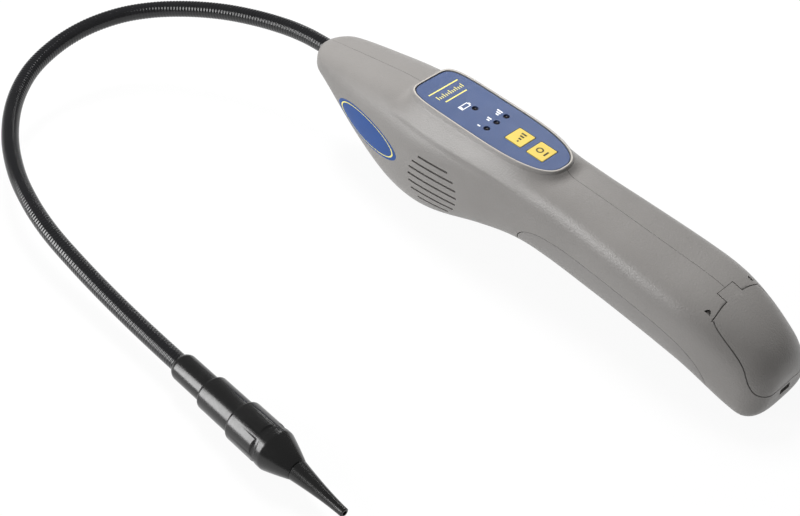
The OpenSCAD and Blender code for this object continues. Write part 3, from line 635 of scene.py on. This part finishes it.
def turned(name, points, sides=96):
    """Solid of revolution of a closed profile, as a ring of profiles."""
    p = rounded_profile(points)
    a = np.linspace(0, 2 * math.pi, sides, endpoint=False)
    rings = [np.column_stack([p[:, 0] * math.cos(t), p[:, 0] * math.sin(t), p[:, 1]]) for t in a]
    return loft(name, [head_put(r) for r in rings], ring_closed=True)


FERRULE_R = 5.5
FERRULE_L = 18.2
HOUSING_R = 7.0
HOUSING_L = 18.4
CAP_R = 8.25
SLEEVE_L = 19.4
CONE_L = 11.6
CONE_BULGE = 0.12
TIP_L = 24.8
TIP_R = 1.75
TIP_ROOT_R = 4.1
TIP_BORE_R = 0.9
TIP_CURVE = 1.5
TIP_EDGE = 0.3
SPIGOT_R = 6.0
SPIGOT_L = 11.0
THREAD_R = 4.4
THREAD_L = 6.0
THREAD_WALL = 2.0
CAN_R = 3.5
FILTER_R = 3.0
FILTER_T = 1.6
TIP_SPIGOT_R = 2.5
TIP_SPIGOT = 3.0
FIT = 0.1
SLIP = 0.05
CAP_FROM = FERRULE_L + HOUSING_L
CONE_FROM = CAP_FROM + SLEEVE_L
TIP_FROM = CONE_FROM + CONE_L
FILTER_FROM = TIP_FROM - TIP_SPIGOT - FILTER_T
GROOVE_FROM = CAP_FROM + 4.5
GROOVE_TO = CAP_FROM + 5.7
GROOVE_R = SPIGOT_R - 0.75
THREAD_END = FERRULE_L + THREAD_L

ferrule = turned("ferrule", [
    (NECK_R + SLIP, 0, 0.2), (FERRULE_R - 0.8, 0, 0.4), (FERRULE_R, 1.6, 0.8),
    (FERRULE_R, FERRULE_L - 0.5, 0.3), (FERRULE_R - 0.4, FERRULE_L - SLIP), (THREAD_R, FERRULE_L - SLIP),
    (THREAD_R, THREAD_END), (THREAD_R - THREAD_WALL, THREAD_END), (THREAD_R - THREAD_WALL, NECK_END),
    (NECK_R + SLIP, NECK_END),
])
finish_piece(ferrule, PROBE, "body", ("probe_ferrule",))
housing = turned("sensor_housing_turned", [
    (THREAD_R + SLIP, FERRULE_L), (HOUSING_R - 0.8, FERRULE_L, 0.4), (HOUSING_R, FERRULE_L + 0.8, 0.6),
    (HOUSING_R, CAP_FROM - 0.35, 0.3), (HOUSING_R - 0.25, CAP_FROM - FIT), (SPIGOT_R, CAP_FROM - FIT),
    (SPIGOT_R, GROOVE_FROM), (GROOVE_R, GROOVE_FROM), (GROOVE_R, GROOVE_TO), (SPIGOT_R, GROOVE_TO),
    (SPIGOT_R, CAP_FROM + SPIGOT_L, 0.3), (CAN_R + 1, CAP_FROM + SPIGOT_L), (CAN_R + 1, THREAD_END + 0.5),
    (THREAD_R + SLIP, THREAD_END + 0.5),
])
finish_piece(housing, PROBE, "body", ("sensor_housing",))


def cone_r(u):
    return TIP_ROOT_R + (CAP_R - TIP_ROOT_R) * (1 - u) * (1 + CONE_BULGE * u)


def tip_r(u):
    return TIP_R + (TIP_ROOT_R - TIP_R) * (1 - u) ** TIP_CURVE


SCOOPS = 6
SCOOP_R = 2.0
SCOOP_DEPTH = 0.8
SCOOP_BACK = 1.9
SCOOP_REACH = 9.0
SCOOP_SIDES = 40
CONE_STEPS = 10
CONE_FILLET = 0.9
TIP_STEPS = 12
cone_points = [
    (cone_r(k / CONE_STEPS), CONE_FROM + CONE_L * k / CONE_STEPS, CONE_FILLET if k == 0 else 0)
    for k in range(CONE_STEPS)
]
cap = turned("sensor_cap_turned", [
    (SPIGOT_R + FIT, CAP_FROM), (CAP_R - 0.7, CAP_FROM, 0.3), (CAP_R, CAP_FROM + 0.7, 0.5),
    *cone_points, (TIP_ROOT_R + SLIP, TIP_FROM - 0.2, 0.15), (TIP_ROOT_R - 0.25, TIP_FROM),
    (TIP_SPIGOT_R + SLIP, TIP_FROM), (TIP_SPIGOT_R + SLIP, TIP_FROM - TIP_SPIGOT),
    (FILTER_R + SLIP, TIP_FROM - TIP_SPIGOT), (FILTER_R + SLIP, FILTER_FROM - 0.2),
    (CAN_R + 1.5, CONE_FROM + 1), (CAN_R + 1.5, CAP_FROM + SPIGOT_L + 0.5),
    (SPIGOT_R + FIT, CAP_FROM + SPIGOT_L + 0.5),
], 144)
scoop_turn = np.linspace(0, 2 * math.pi, SCOOP_SIDES, endpoint=False)
for i in range(SCOOPS):
    t = 2 * math.pi * (i + 0.5) / SCOOPS
    out = np.array([math.cos(t), math.sin(t), 0])
    along = np.array([-math.sin(t), math.cos(t), 0])
    middle = out * (CAP_R + SCOOP_R - SCOOP_DEPTH) + UPWARD * (CONE_FROM - SCOOP_BACK * SCOOP_R)
    ring = np.array([math.cos(b) * out + math.sin(b) * UPWARD for b in scoop_turn])
    ends = [head_put(middle + SCOOP_R * ring + along * w) for w in (SCOOP_REACH, -SCOOP_REACH)]
    cut(cap, loft("scoop", ends))
finish_piece(cap, PROBE, "cap", ("sensor_cap",))
tip_points = [
    (tip_r(k / TIP_STEPS), TIP_FROM + TIP_EDGE + (TIP_L - 2 * TIP_EDGE) * k / TIP_STEPS)
    for k in range(TIP_STEPS + 1)
]
tip = turned("probe_tip_turned", [
    (TIP_BORE_R, TIP_FROM - TIP_SPIGOT), (TIP_SPIGOT_R, TIP_FROM - TIP_SPIGOT),
    (TIP_SPIGOT_R, TIP_FROM + TIP_EDGE), *tip_points, (TIP_R - 0.4, TIP_FROM + TIP_L, 0.3),
    (TIP_BORE_R, TIP_FROM + TIP_L),
])
finish_piece(tip, PROBE, "cap", ("probe_tip",))
tuple(to_row([(18, 0, 38)])[0])
[tuple(p) for p in to_row(neck_path)[::12]]

# Body halves, with stations closer together where the surface bends
stations = np.concatenate([
    [0, 0.12, 0.35, 0.7, 1.2, 1.9, 2.8, 4.0, 5.5, 7.5], np.arange(9.5, 57.5, 1.6), np.arange(57.9, 69, 0.4),
    np.arange(69.3, 128, 1.4), np.arange(128.3, 147, 0.6), np.arange(147.5, 233.5, 1.5),
    LENGTH - np.array([13.5, 12, 10.5, 9, 7.5, 6.2, 5, 4, 3.1, 2.3, 1.6, 1.0, 0.55, 0.25, 0.08, 0]),
])
left_angles = np.concatenate([[90, 90.5], np.linspace(91.6, 268.4, 118), [269.5, 270]])
left_rings = surface_rings(stations, left_angles)
SEAM = 0.22
LOW_SEAM = SEAM * 0.6
left_rings[:, 0, 2] -= SEAM
left_rings[:, -1, 2] += LOW_SEAM
left_rings[:, [0, -1], 1] = 0


def half_rings(rings, side):
    if side < 0:
        return rings
    mirrored = rings[:, ::-1, :].copy()
    mirrored[:, :, 1] *= -1
    return mirrored


INNER_TAIL = LENGTH - np.array([14, 11, 8.5, 6.5, 4.5, 3, 1.5, 0.6, 0.1, 0])
INNER_END = 234
PAST_MIDDLE = 1.0


def hollow(side):
    """Room inside one half, reaching a little past the middle plane."""
    xs = np.concatenate([[NOSE_WALL], np.arange(14, INNER_END, 4.0), INNER_TAIL])
    a = np.linspace(90, 270, 41)
    p = body_point(xs[:, None], a[None, :], WALL)
    p[:, [0, -1], 1] = PAST_MIDDLE
    return loft("hollow", half_rings(p, side))


KEY_L = 8.4
KEY_W = 9.0
KEY_GAP = 0.25
POWER_X = 25.2
SENSE_X = 13.7
LED_D = 2.6
LED_ROOM = 0.2
LED_PLACES = [(-10.9, 0), (1.0, -5.7), (1.0, 0), (1.0, 5.7)]
UNDER_DECK = -2.2
DECK_CUT = (UNDER_DECK - 1, 1.0)
POD_ROOM_FLOOR = -7.5
SPEAKER_X = KEYPAD_X - 13.3
SPEAKER_Z = 23.0
SLOTS = 7
SLOT_W = 0.9
SLOT_PITCH = 3.5
SLOT_REACH = 13.2
SLOT_CUT = (-30, -15.6)
NECK_ROOM = 0.25
GLAND_R = 5.0
PIN_DEPTH = 3.0
PIN_X = LENGTH - 30
PIN_Z = float(top_z(PIN_X)) - PIN_DEPTH
PIN = np.array([PIN_X, PIN_Z])
PIN_R = 0.8
PIN_L = 0.6
PIN_BORE_R = 0.85
PIN_BORE_L = 0.8
DOOR_GAP = 0.35
DOOR_EDGE_R = 3.4
DOOR_FROM = 0.5
DOOR_LOW_Z = 11.3
TAB_W = 8.8
TAB_REACH = 1.9
TAB_T = 1.3
EAR_Y = 11.2
EAR_T = 1.8
EAR_R = 1.3
EAR_DROP = 4.2
EAR_GAP = 0.3
EAR_BACK = 1.6
EAR_WINDOW_R = 1.72
ARM_TOP = 2.6
RISER_FROM = 4.6
RISER_TO = 6.4
RISER_TOP = 1.0
LIP_HEIGHT = 0.15
EAR_SWING = math.hypot(RISER_TO, EAR_DROP) + EAR_GAP
EDGE_NORMAL = np.array([0.64, 0.77])
DOOR_LINE = [
    (PIN_X + 4, PIN_Z - 0.4), (PIN_X + 6, PIN_Z - 1.8), (PIN_X + 14.8, PIN_Z - 7.4),
    (PIN_X + 20, PIN_Z - 11.8), (PIN_X + 23.8, PIN_Z - 17), (PIN_X + 27, PIN_Z - 20.4),
    (LENGTH + 3, DOOR_LOW_Z),
]


def door_region(g):
    """Side-view region behind the door's edge, moved by g into the body."""
    line = smooth_path([(x, z, 0) for x, z in DOOR_LINE], 10)[:, :2] - EDGE_NORMAL * g
    behind = LENGTH + 10
    front = PIN_X + DOOR_FROM
    corners = [(behind, DOOR_LOW_Z - g), (behind, HEAD_TOP), (front, HEAD_TOP), (front, PIN_Z)]
    region = side_prism("door_region", np.vstack([corners, line]), -HEAD_W, HEAD_W)
    return cut(region, side_prism("hinge_edge", circle(PIN_X, PIN_Z, DOOR_EDGE_R - g, 96), -50, 50))


PAD_FRONT = at_head(0.885)
PAD_REAR = LENGTH - 21
PAD_RISE = 16.0
PAD_POWER = 3.6
PAD_T = 1.2
PAD_GAP = 0.25
PAD_BEVEL = 0.25
PAD_SIDE_BEVEL = 0.35
PAD_STEPS = 72
PAD_SIDES = 48
PAD_END = 0.995


def pad_rings(outer, inner, g, bevel=0.0):
    """Rings of the grip pad, out along its outer face and back along its inner one."""
    rings = []
    for i in range(PAD_STEPS + 1):
        t = -math.cos(math.pi * i / PAD_STEPS)
        x = (PAD_FRONT + PAD_REAR) / 2 + t * ((PAD_REAR - PAD_FRONT) / 2 + g)
        u = min(PAD_END, abs(t))
        rise = PAD_RISE * (1 - u ** PAD_POWER) ** (1 / PAD_POWER) + g
        half_h = (float(top_z(x)) - float(bottom_z(x))) / 2
        share = min(1, max(0, (half_h - rise) / half_h))
        a = math.degrees(math.asin(share ** (float(curve(BOTTOM_POWER, x)) / 2)))
        angles = np.linspace(180 + a, 360 - a, PAD_SIDES)
        face = body_point(x, angles, outer)
        if bevel and i in (0, PAD_STEPS):
            face = body_point(x, angles, outer + bevel)
        elif bevel:
            for k in (0, -1):
                face[k] = body_point(x, angles[k], outer + bevel * PAD_SIDE_BEVEL)
        rings.append(np.vstack([face, body_point(x, angles[::-1], inner)]))
    return np.array(rings)


def cylinder_x(name, x0, x1, r):
    """Cylinder along the gooseneck's axis in the nose."""
    c = circle(0, NECK_Z, r, 64)
    return loft(name, [np.column_stack([np.full(len(c), x), c[:, 0], c[:, 1]]) for x in (x0, x1)])


def slot_outline(dz):
    reach = math.sqrt(SLOT_REACH ** 2 - dz * dz) - SLOT_W / 2
    a = np.linspace(-math.pi / 2, math.pi / 2, 9)
    one = np.column_stack([reach + SLOT_W / 2 * np.cos(a), SLOT_W / 2 * np.sin(a)])
    return np.vstack([one, -one]) + np.array([SPEAKER_X, SPEAKER_Z + dz])


def ear_room():
    """Side-view room that the door's ears sweep, under a lip and behind the pin."""
    start = math.asin(LIP_HEIGHT / EAR_SWING)
    end = -math.pi + math.acos(EAR_BACK / EAR_SWING)
    arc = [(EAR_SWING * math.cos(t), EAR_SWING * math.sin(t)) for t in np.linspace(start, end, 40)]
    return np.array(arc + [(-EAR_BACK, LIP_HEIGHT)]) + PIN


SCREWS = [(54, 11), (SPEAKER_X - 13, 41), (SPEAKER_X + 16, 14), (LENGTH - 15, 7.2)]
SCREW_SEAT = 9.5
SCREW_HEAD_R = 3.15
POST_WALL = 1.2
POST_FLOOR = 2.0
PAST_SIDE = 40


def screw_prisms(name, r, seat):
    return [side_prism(name, circle(x, z, r), seat, PAST_SIDE) for x, z in SCREWS]


def shell(side):
    obj = loft("left_half" if side < 0 else "right_half", half_rings(left_rings, side))
    inside = hollow(side)
    if side > 0:
        cut(inside, joined("posts", screw_prisms("post", SCREW_HEAD_R + POST_WALL, SCREW_SEAT - POST_FLOOR)))
    cut(obj, inside)
    cut(obj, prism("pod_hollow", outline(RIM - WALL, 96), POD_ROOM_FLOOR, UNDER_DECK))
    through = [
        prism("opening", rounded_rect(x, 0, KEY_L + 1, KEY_W + 1, 0.6), *DECK_CUT) for x in (POWER_X, SENSE_X)
    ]
    through += [prism("opening", circle(x, y, LED_D / 2 + LED_ROOM), *DECK_CUT) for x, y in LED_PLACES]
    if side < 0:
        heights = [(i - SLOTS // 2) * SLOT_PITCH for i in range(SLOTS)]
        through += [side_prism("slot", slot_outline(dz), *SLOT_CUT) for dz in heights]
    else:
        through += screw_prisms("counterbore", SCREW_HEAD_R, SCREW_SEAT)
    through.append(cylinder_x("nose_hole", -1, 10, NECK_R + NECK_ROOM))
    cut(obj, joined("openings", through))
    cut(obj, cylinder_x("gland_pocket", 9, 25, GLAND_R))
    cut(obj, door_region(DOOR_GAP))
    half_tab = TAB_W / 2 + DOOR_GAP
    cut(obj, side_prism("tab_notch", rectangle(PIN_X, PIN_Z - 1, PIN_X + 6, HEAD_TOP), -half_tab, half_tab))
    notch_r = math.hypot(TAB_REACH, PIN_DEPTH + 0.2) + DOOR_GAP
    cut(obj, side_prism("tab_round", circle(PIN_X, PIN_Z, notch_r, 96), -half_tab, half_tab))
    y0, y1 = sorted((side * (EAR_Y - EAR_GAP), side * (EAR_Y + EAR_T + EAR_GAP)))
    cut(obj, side_prism("ear_window", circle(PIN_X, PIN_Z, EAR_WINDOW_R), y0, y1))
    cut(obj, side_prism("ear_room", ear_room(), y0, y1))
    y0, y1 = sorted((side * EAR_Y, side * (EAR_Y + EAR_T + PIN_BORE_L)))
    cut(obj, side_prism("pin_bore", circle(PIN_X, PIN_Z, PIN_BORE_R), y0, y1))
    pry_slot = rectangle(LENGTH - 4.4, DOOR_LOW_Z - 2.6, LENGTH + 4, DOOR_LOW_Z)
    cut(obj, side_prism("pry_slot", pry_slot, -3, 3))
    return cut(obj, loft("pad_seat", pad_rings(-1, PAD_T, PAD_GAP), sheet=True))


finish_piece(shell(-1), BODY, "body", ("left_shell",))
finish_piece(shell(1), BODY, "body", ("right_shell",))
pad = loft("grip_pad_sheet", pad_rings(0, PAD_T - SLIP, 0, PAD_BEVEL), sheet=True)
finish_piece(pad, GRIP, "body", ("grip_pad",), 50)


# Battery door with its ears, pins and the post behind the cells' spring
CELL_TILT = math.radians(5.79653)
CELL_REAR = (LENGTH - 35, 22.1789)
SPRING_SEAT = 12.5
SPRING_POST_R = 4.5
EAR = np.array([
    (-EAR_R, 0), (-EAR_R, -EAR_DROP), (RISER_TO, -EAR_DROP), (RISER_TO, -RISER_TOP), (RISER_FROM, -RISER_TOP),
    (RISER_FROM, -ARM_TOP), (EAR_R, -ARM_TOP), (EAR_R, 0), (0.8, 0.5), (0, 0.8), (-0.8, 0.5),
])


def inner_loft(name, depth):
    """Inner face of the tail at a depth under its surface."""
    xs = np.concatenate([[PIN_X - 13], np.arange(PIN_X - 10, INNER_END, 3.0), INNER_TAIL])
    a = np.linspace(0, 360, 80, endpoint=False)
    return loft(name, body_point(xs[:, None], a[None, :], depth))


def door():
    xs = stations[stations > PIN_X - 12]
    left = left_angles[1:-1]
    full = surface_rings(xs, np.unique(np.concatenate([left, (180 - left) % 360])))
    obj = loft("tail_door", full)
    low = PIN_Z + PIN_DEPTH - TAB_T - DOOR_GAP
    tab_side = rectangle(PIN_X - TAB_REACH, low, PIN_X + 3.2, HEAD_TOP)
    tab = loft("tab", full)
    boolean(tab, side_prism("tab_box", tab_side, -TAB_W / 2, TAB_W / 2), "INTERSECT")
    cut(tab, inner_loft("tab_inner", TAB_T))
    boolean(obj, door_region(0), "INTERSECT")
    cut(obj, inner_loft("inner", WALL))
    boolean(obj, tab, "UNION")
    parts = [obj]
    for side in (-1, 1):
        y0, y1 = sorted((side * EAR_Y, side * (EAR_Y + EAR_T)))
        parts.append(side_prism("ear", EAR + PIN, y0, y1))
        y0, y1 = sorted((side * (EAR_Y + 0.5), side * (EAR_Y + EAR_T + PIN_L)))
        parts.append(side_prism("pin", circle(PIN_X, PIN_Z, PIN_R), y0, y1))
    a = np.linspace(0, 2 * math.pi, 48, endpoint=False)
    y = SPRING_POST_R * np.cos(a)
    z = SPRING_POST_R * np.sin(a)
    post = [
        np.column_stack([
            CELL_REAR[0] + along * math.cos(CELL_TILT) + z * math.sin(CELL_TILT), y,
            CELL_REAR[1] - along * math.sin(CELL_TILT) + z * math.cos(CELL_TILT),
        ])
        for along in (SPRING_SEAT, SPRING_SEAT + HANDLE)
    ]
    parts.append(boolean(loft("spring_post", post), inner_loft("deep", WALL * 0.6), "INTERSECT"))
    return joined("tail_door", parts)


finish_piece(door(), BODY, "door", ("battery_door",))

# Keypad crown, and a thin paler sheet on the rim round the overlay, a painted highlight
CROWN_FILLET = 0.6
CROWN_DEPTH = 4.8
CROWN_POINTS = 220
OUTLINE_POINTS = 720
CROWN_IN = 0.2
LIP_LOW = RIM_H - 0.12
LIP_HIGH = RIM_H + 0.015


def edge_ring(g, z):
    """Evenly spaced ring round the overlay, g outside its edge, at a height z."""
    return level_ring(evened(outline(g, OUTLINE_POINTS), CROWN_POINTS), z)


def crown():
    shoulder = RIM_H - CROWN_FILLET
    profile = [(CROWN_IN, -OVERLAY_T), (CROWN_IN, RIM_H - 0.2), (0.26, RIM_H - 0.06), (0.4, RIM_H)]
    profile += [
        (RIM - CROWN_FILLET + CROWN_FILLET * math.sin(t), shoulder + CROWN_FILLET * math.cos(t))
        for t in np.linspace(0, math.pi / 2, 6)
    ]
    profile += [(RIM + POD_FLARE * k / 3, shoulder - k / 3) for k in (1, 2, 3)]
    profile += [(RIM + POD_FLARE * (CROWN_DEPTH - 0.15), -CROWN_DEPTH), (CROWN_IN, -CROWN_DEPTH)]
    return loft("keypad_crown", [edge_ring(g, z) for g, z in profile], ring_closed=True)


finish_piece(crown(), BODY, "body", (), 40)
# Thin sheet laid just over the crown's rim in the paler colour: a painted highlight
highlight_lip_profile = [(0.30, LIP_LOW), (0.36, LIP_HIGH), (0.86, LIP_HIGH), (0.96, LIP_LOW)]
highlight_lip = loft("keypad_lip_painted_highlight", [edge_ring(g, z) for g, z in highlight_lip_profile], ring_closed=True)
finish_piece(highlight_lip, PAINTED_HIGHLIGHT_LIP, "body", (), 50)


# Overlay with its windows, and the marks printed on it
WINDOW_CUT = (-3, 1)


def overlay():
    obj = loft("overlay_film", [edge_ring(-0.12, -OVERLAY_T), edge_ring(-0.12, -0.10), edge_ring(-0.24, 0.0)])
    key_window = (KEY_L + 2 * KEY_GAP, KEY_W + 2 * KEY_GAP, 0.5)
    cuts = [prism("window", rounded_rect(x, 0, *key_window), *WINDOW_CUT) for x in (POWER_X, SENSE_X)]
    cuts += [prism("window", circle(x, y, LED_D / 2 + 0.1), *WINDOW_CUT) for x, y in LED_PLACES]
    return cut(obj, joined("windows", cuts))


finish_piece(overlay(), OVERLAY, "body", ("keypad_overlay",))

PRINT_LOW = -0.05
PRINT_HIGH = 0.02
KEY_TOP = 0.15
KEY_T = 0.6
STEM_D = 2.4


def box_mark(x, y, w, h, level=0.0):
    """Printed bar, w along the keypad and h across it."""
    return prism("mark", rounded_rect(x, y, w, h, min(w, h) * 0.2, 3), level + PRINT_LOW, level + PRINT_HIGH)


def ring_mark(x, y, r, width, level=0.0):
    outer = circle(x, y, r, 40)
    inner = circle(x, y, r - width, 40)
    section = ((outer, PRINT_LOW), (outer, PRINT_HIGH), (inner, PRINT_HIGH), (inner, PRINT_LOW))
    return loft("mark", [level_ring(o, level + z) for o, z in section], ring_closed=True)


def frame_mark(x, y, w, h, line):
    inset_x = w / 2 - line / 2
    inset_y = h / 2 - line / 2
    bars = [box_mark(x + s * inset_x, y, line, h) for s in (-1, 1)]
    return bars + [box_mark(x, y + s * inset_y, w - 2 * line, line) for s in (-1, 1)]


RULE_W = 0.62
TICKS = 13
TICK_PITCH = 1.15
TICK_W = 0.42
TICK_FOOT = -24.0
rules = [box_mark(-28.9, -0.15, RULE_W, 16.7), box_mark(-21.6, 0, RULE_W, 12.2)]
for i in range(TICKS):
    tall = 2.5 if i % 3 == 0 else 1.5
    rules.append(box_mark(TICK_FOOT - tall / 2, (i - TICKS // 2) * TICK_PITCH, tall, TICK_W))
finish_piece(joined("keypad_rules", rules), RULE, "body")

BATTERY_X = -14.6
BAR_FOOT = -1.6
BAR_W = 0.75
marks = frame_mark(BATTERY_X, -2.4, 2.6, 5.2, 0.45)
marks += [box_mark(BATTERY_X, 0.5, 1.2, 0.6), box_mark(BATTERY_X, -4.1, 1.3, 0.9)]
for k, (x, y) in enumerate(LED_PLACES[1:]):
    for b in range(k + 1):
        tall = 1.5 + 0.7 * b
        marks.append(box_mark(BAR_FOOT - tall / 2, y - 1.1 + 1.2 * b - 0.4 * k, tall, BAR_W))
finish_piece(joined("lamp_marks", marks), MARK_WHITE, "body")


def key_cap(name, x):
    low = KEY_TOP - KEY_T
    edge = rounded_rect(x, 0, KEY_L, KEY_W, 0.5)
    face = rounded_rect(x, 0, KEY_L - 0.3, KEY_W - 0.3, 0.4)
    rings = [level_ring(q, z) for q, z in ((edge, low), (edge, KEY_TOP - 0.12), (face, KEY_TOP))]
    stem = prism("stem", circle(x, 0, STEM_D / 2, 24), UNDER_DECK, low + 0.05)
    return joined(name, [loft(name, rings), stem])


finish_piece(key_cap("power_key_cap", POWER_X), KEY, "power_key", ("power_key",))
sense_key = key_cap("sensitivity_key_cap", SENSE_X)
finish_piece(sense_key, KEY, "sensitivity_key", ("sensitivity_key",))
power_marks = [ring_mark(POWER_X - 1.0, 0, 1.6, 0.62, KEY_TOP), box_mark(POWER_X + 2.2, 0, 0.8, 3.0, KEY_TOP)]
finish_piece(joined("power_symbol", power_marks), MARK_DARK, "power_key")
sense_marks = []
for b in range(4):
    tall = 0.8 + 0.6 * b
    sense_marks.append(box_mark(SENSE_X + 1.3 - tall / 2, -2.4 + 1.6 * b, tall, 0.85, KEY_TOP))
finish_piece(joined("sensitivity_symbol", sense_marks), MARK_DARK, "sensitivity_key")

# Oval label on the left side
LABEL_X = 47.06
LABEL_Z = 28.5
LABEL_L = 41.0
LABEL_H = 13.4
LABEL_TILT = math.radians(8)
LABEL_PROUD = 0.06
LABEL_SUNK = 0.3
LINE_PROUD = LABEL_PROUD + 0.02


def label_points(shares, proud):
    a = np.linspace(0, 2 * math.pi, 120, endpoint=False)[None, :]
    r = np.asarray(shares, float)[:, None]
    u = LABEL_L / 2 * r * np.cos(a)
    v = LABEL_H / 2 * r * np.sin(a)
    x = LABEL_X + u * math.cos(LABEL_TILT) + v * math.sin(LABEL_TILT)
    z = LABEL_Z - u * math.sin(LABEL_TILT) + v * math.cos(LABEL_TILT)
    return np.stack([x, -side_y(x, z, -proud), z], -1)


def label_sheet(name, inside, outside, count, proud):
    """Thin sheet over the oval between two shares of its size."""
    shares = np.linspace(inside, outside, count)
    front = label_points(shares, proud)
    rear = label_points(shares[::-1], -LABEL_SUNK)
    return loft(name, np.concatenate([front, rear]), ring_closed=True)


side_oval = label_sheet("side_oval", 0.004, 1.0, 12, LABEL_PROUD)
finish_piece(side_oval, LABEL, "body", ("side_label",), 50)
oval_line = label_sheet("side_oval_line", 0.86, 0.90, 3, LINE_PROUD)
finish_piece(oval_line, RULE, "body", (), 50)

# Finishes of the solids that stay
INNER = {
    "led_low_battery": LAMP, "led_low": LAMP, "led_normal": LAMP, "led_high": LAMP, "main_board": BOARD,
    "power_switch": BLACK, "sensitivity_switch": BLACK, "speaker": CONE, "front_cell": WRAP,
    "rear_cell": WRAP, "front_contact": STEEL, "cell_spring": STEEL, "pump_head": BLACK, "pump_motor": STEEL,
    "air_tube": TUBE, "probe_gland": BLACK, "case_screws": STEEL, "sensor_o_ring": RUBBER,
    "sensor_element": STEEL, "tip_filter": FELT,
}
for node, finish in INNER.items():
    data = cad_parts[node].data
    data.materials.clear()
    data.materials.append(finish)

# Floor, world and lights
FLOOR_HALF = 6
FLOOR_Z = -0.0003
PAPER_COLOR = (0.86, 0.86, 0.86, 1)
PAPER_ROUGH = 0.9
PAPER_GLOW = 0.93
WORLD_LEVEL = 0.22
corners = [(x * FLOOR_HALF, y * FLOOR_HALF, FLOOR_Z) for x, y in ((-1, -1), (1, -1), (1, 1), (-1, 1))]
floor = linked("floor", corners, [(0, 1, 2, 3)])
paper = bpy.data.materials.new("paper")
paper.use_nodes = True
nodes = paper.node_tree.nodes
links = paper.node_tree.links
sheet = nodes["Principled BSDF"]
sheet.inputs["Base Color"].default_value = PAPER_COLOR
sheet.inputs["Roughness"].default_value = PAPER_ROUGH
sheet.inputs["Specular IOR Level"].default_value = 0.0
glow = nodes.new("ShaderNodeEmission")
glow.inputs["Strength"].default_value = 1.0
rays = nodes.new("ShaderNodeLightPath")
seen = nodes.new("ShaderNodeMath")
seen.operation = "MULTIPLY"
seen.inputs[1].default_value = PAPER_GLOW
links.new(rays.outputs["Is Camera Ray"], seen.inputs[0])
for ray in ("Is Glossy Ray", "Is Transmission Ray"):
    either = nodes.new("ShaderNodeMath")
    either.operation = "MAXIMUM"
    links.new(seen.outputs[0], either.inputs[0])
    links.new(rays.outputs[ray], either.inputs[1])
    seen = either
mix = nodes.new("ShaderNodeMixShader")
links.new(seen.outputs[0], mix.inputs["Fac"])
links.new(sheet.outputs["BSDF"], mix.inputs[1])
links.new(glow.outputs["Emission"], mix.inputs[2])
links.new(mix.outputs["Shader"], nodes["Material Output"].inputs["Surface"])
floor.data.materials.append(paper)

world = bpy.data.worlds.new("studio")
scene.world = world
world.use_nodes = True
world.node_tree.nodes["Background"].inputs["Color"].default_value = (1, 1, 1, 1)
world.node_tree.nodes["Background"].inputs["Strength"].default_value = WORLD_LEVEL
scene.view_settings.view_transform = "Standard"


def area_light(name, place, target, size, watts, size_y=None):
    data = bpy.data.lights.new(name, "AREA")
    data.energy = watts
    data.size = size
    if size_y:
        data.shape = "RECTANGLE"
        data.size_y = size_y
    obj = bpy.data.objects.new(name, data)
    obj.location = place
    obj.rotation_euler = (Vector(target) - Vector(place)).to_track_quat("-Z", "Y").to_euler()
    scene.collection.objects.link(obj)
    return obj


box = area_light("left_box", (-0.28, -0.64, 0.30), (0.0, -0.06, 0.03), 0.28, 3.1, 0.36)
box.visible_glossy = False
card = area_light("left_card", (-0.40, -0.64, 0.27), (0.0, -0.08, 0.03), 0.26, 4.8, 0.50)
card.visible_diffuse = False
key = area_light("key", (-0.40, 0.20, 0.66), (0.0, 0.0, 0.02), 0.30, 8.4)
key.visible_glossy = False
area_light("back_strip", (-0.42, 0.62, 0.50), (0.0, -0.12, 0.02), 0.04, 0.7, 0.5)
